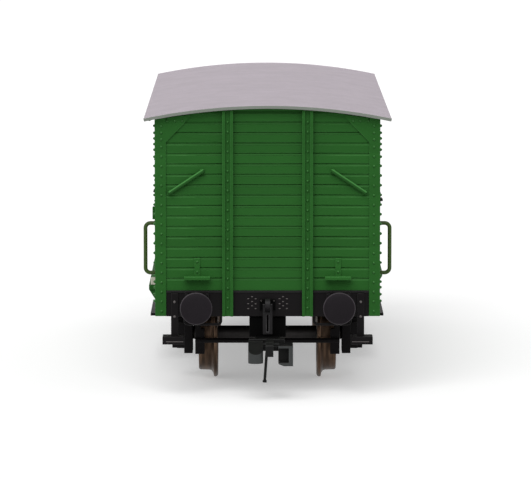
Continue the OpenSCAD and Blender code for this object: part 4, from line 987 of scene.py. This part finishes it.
class COACH_OT_rivets(CoachBuilder, bpy.types.Operator):
    """Rivet rows on posts and plates, and the bolt heads of the underframe"""

    bl_idname = "coach.rivets"
    bl_label = "Rivets and bolts"

    def build(self, scene):
        sizes = scene.coach_sizes
        width, height = sizes.rivet_width / MM, sizes.rivet_height / MM
        pitch = sizes.rivet_pitch / MM
        bm = bmesh.new()
        front = (0, -1, 0)
        corner_y = PLANK_END_Y - CORNER_PROUD
        side_row = falling(*SIDE_ROW, pitch)
        for side in SIDES:
            for z in falling(*END_POST_ROW, pitch * 1.01):
                dome(bm, (side * END_POST_X, PLANK_END_Y - END_POST_LEAF, z), front, width, height)
            for z in CORNER_ROW_TOP + falling(*CORNER_ROW, pitch):
                dome(bm, (side * CORNER_RIVET_X, corner_y, z), front, width, height)
            for z in SIDE_ROW_TOP + side_row + SIDE_ROW_FOOT:
                dome(bm, (side * POST_OUT_X, -SIDE_RIVET_Y, z), (side, 0, 0), width * 1.2,
                     height * 1.6)
            for x in GUSSET_RIVETS_X:
                dome(bm, (side * x, corner_y, GUSSET_RIVETS_Z), front, width, height)
            for z in STEP_STRAP_RIVETS_Z:
                dome(bm, (side * STEP_STRAP_X, PLANK_END_Y - STEP_STRAP_T, z), front, width, height)
        for y in (MID_POST_Y, -MID_POST_Y, -DOOR_POST_EDGE_Y):
            for z in SIDE_ROW_TOP[1:] + side_row + SIDE_ROW_FOOT[:3]:
                under_stop = y > 0 and DOOR_STOP_Z[0] < z < DOOR_STOP_Z[1]
                if not under_stop:
                    dome(bm, (POST_OUT_X, y, z), (1, 0, 0), width, height)
        turn_to_rear(bm)
        smooth(bm)
        add_piece("body_rivets", bm, COACH, ["rivet_green_highlit"])

        # Underframe bolts in pale grey, as painted glints.
        bm = bmesh.new()
        hook_bolt_x, hook_bolt_z = HOOK_PLATE_BOLT
        for side in SIDES:
            for x, heights in STOCK_RIVETS:
                for z in heights:
                    dome(bm, (side * x, PLANK_END_Y, z), front, width=0.34, height=0.12, tall=0.18)
            for z in STEP_BAR_BOLTS_Z:
                dome(bm, (side * STEP_BAR_X, PLANK_END_Y - STEP_BAR_T, z), front, width=0.42,
                     height=0.16)
            # Both hook-plate bolts are made on each pass, so each one is there twice.
            for x in (-hook_bolt_x, hook_bolt_x):
                dome(bm, (x, PLANK_END_Y - HOOK_PLATE_T, hook_bolt_z), front, width=0.28,
                     height=0.14)
        turn_to_rear(bm)
        for side in SIDES:
            for axle in (-AXLE_Y, AXLE_Y):
                for z, places in GUARD_BOLTS:
                    for y in places:
                        hexagon(bm, (side * GUARD_OUT_X, axle + y, z), (side, 0, 0), width=0.55,
                                height=0.2)
        for face in bm.faces:
            face.smooth = len(face.verts) < 6
        add_piece("frame_bolts", bm, COACH, ["bolt_glint_grey"])


# ---- Stage ----

FLOOR_HALF = 12
FLOOR_DROP = 0.00002
FLOOR_PALE = (0.75, 0.75, 0.75, 1)
FLOOR_GLOW = 0.36
WHITE = (1, 1, 1, 1)
KEY_TURN = math.radians(-12)
CAMERA_X = -0.0015
CAMERA_TURN = math.radians(-0.107)
SENSOR_WIDTH = 36


class COACH_OT_stage(CoachBuilder, bpy.types.Operator):
    """Pale floor, soft light and camera"""

    bl_idname = "coach.stage"
    bl_label = "Stage"

    def build(self, scene):
        scene.view_settings.view_transform = "Standard"
        self.lay_floor(scene)
        self.light(scene)
        self.place_camera(scene)

    def lay_floor(self, scene):
        """A pale floor that glows where it is seen, so that it ends in white."""
        bm = bmesh.new()
        bmesh.ops.create_grid(bm, x_segments=1, y_segments=1, size=FLOOR_HALF)
        bmesh.ops.translate(bm, vec=(0, 0, -FLOOR_DROP), verts=bm.verts)
        mesh = bpy.data.meshes.new("floor")
        bm.to_mesh(mesh)
        bm.free()
        floor = bpy.data.objects.new("floor", mesh)
        scene.collection.objects.link(floor)
        material, wire = new_material("studio_floor", FLOOR_PALE)
        seen = rays(wire, "Camera", "Glossy")
        pale = wire.node("BsdfDiffuse", inputs={"Color": FLOOR_PALE})
        glow = wire.node("Emission", inputs={"Color": WHITE, "Strength": seen * FLOOR_GLOW})
        finish_tree(wire, wire.node("AddShader", inputs={0: pale, 1: glow}), "Material")
        mesh.materials.append(material)

    def light(self, scene):
        """A soft key light, and an even sky that looks white."""
        studio = scene.coach_studio
        world = bpy.data.worlds.new("studio")
        world.use_nodes = True
        world.node_tree.nodes.clear()
        wire = Wire(world.node_tree)
        seen = wire.math("MINIMUM", rays(wire, "Camera", "Glossy", "Transmission"), 1.0)
        sky = wire.node("Background", inputs={"Color": WHITE, "Strength": studio.sky})
        white = wire.node("Background", inputs={"Color": WHITE, "Strength": 1.0})
        finish_tree(wire, wire.node("MixShader", inputs={0: seen, 1: sky, 2: white}), "World")
        scene.world = world

        lamp = bpy.data.lights.new("key", "SUN")
        lamp.energy = studio.key
        lamp.angle = studio.key_softness
        key = bpy.data.objects.new("key", lamp)
        key.rotation_euler = (math.pi / 2 - studio.key_height, 0, KEY_TURN)
        scene.collection.objects.link(key)

    def place_camera(self, scene):
        """A long lens in front of the front end."""
        studio = scene.coach_studio
        camera = bpy.data.cameras.new("camera")
        camera.lens = studio.lens
        camera.sensor_width = SENSOR_WIDTH
        camera.clip_start = 0.01
        view = bpy.data.objects.new("camera", camera)
        view.location = (CAMERA_X, -studio.distance, studio.height)
        view.rotation_euler = (math.pi / 2 - studio.tilt, 0, CAMERA_TURN)
        scene.collection.objects.link(view)
        scene.camera = view


BUILDERS = (
    COACH_OT_body, COACH_OT_roof, COACH_OT_doors, COACH_OT_inside, COACH_OT_underframe,
    COACH_OT_running_gear, COACH_OT_wheelsets, COACH_OT_buffers, COACH_OT_couplers,
    COACH_OT_handles, COACH_OT_rivets, COACH_OT_stage,
)


class COACH_PT_panel(bpy.types.Panel):
    """Settings and builders of the coach"""

    bl_idname = "COACH_PT_panel"
    bl_label = "Model Coach"
    bl_space_type = "VIEW_3D"
    bl_region_type = "UI"
    bl_category = "Coach"

    def draw(self, context):
        for title, group in (("Paints", context.scene.coach_paints),
                             ("Details", context.scene.coach_sizes),
                             ("Studio", context.scene.coach_studio)):
            box = self.layout.box()
            box.label(text=title)
            for name in group.__annotations__:
                box.prop(group, name)
        column = self.layout.column(align=True)
        for builder in BUILDERS:
            column.operator(builder.bl_idname)


CLASSES = (CoachPaints, CoachSizes, CoachStudio, *BUILDERS, COACH_PT_panel)


def register():
    """Registers the classes and hangs the settings on the scene."""
    for made in CLASSES:
        bpy.utils.register_class(made)
    bpy.types.Scene.coach_paints = PointerProperty(type=CoachPaints)
    bpy.types.Scene.coach_sizes = PointerProperty(type=CoachSizes)
    bpy.types.Scene.coach_studio = PointerProperty(type=CoachStudio)


def unregister():
    """Takes the settings and classes away again."""
    del bpy.types.Scene.coach_studio, bpy.types.Scene.coach_sizes, bpy.types.Scene.coach_paints
    for made in reversed(CLASSES):
        bpy.utils.unregister_class(made)


def main():
    """Builds the coach and its stage."""
    register()
    for builder in BUILDERS:
        group, name = builder.bl_idname.split(".")
        getattr(getattr(bpy.ops, group), name)()


if __name__ == "__main__":
    main()
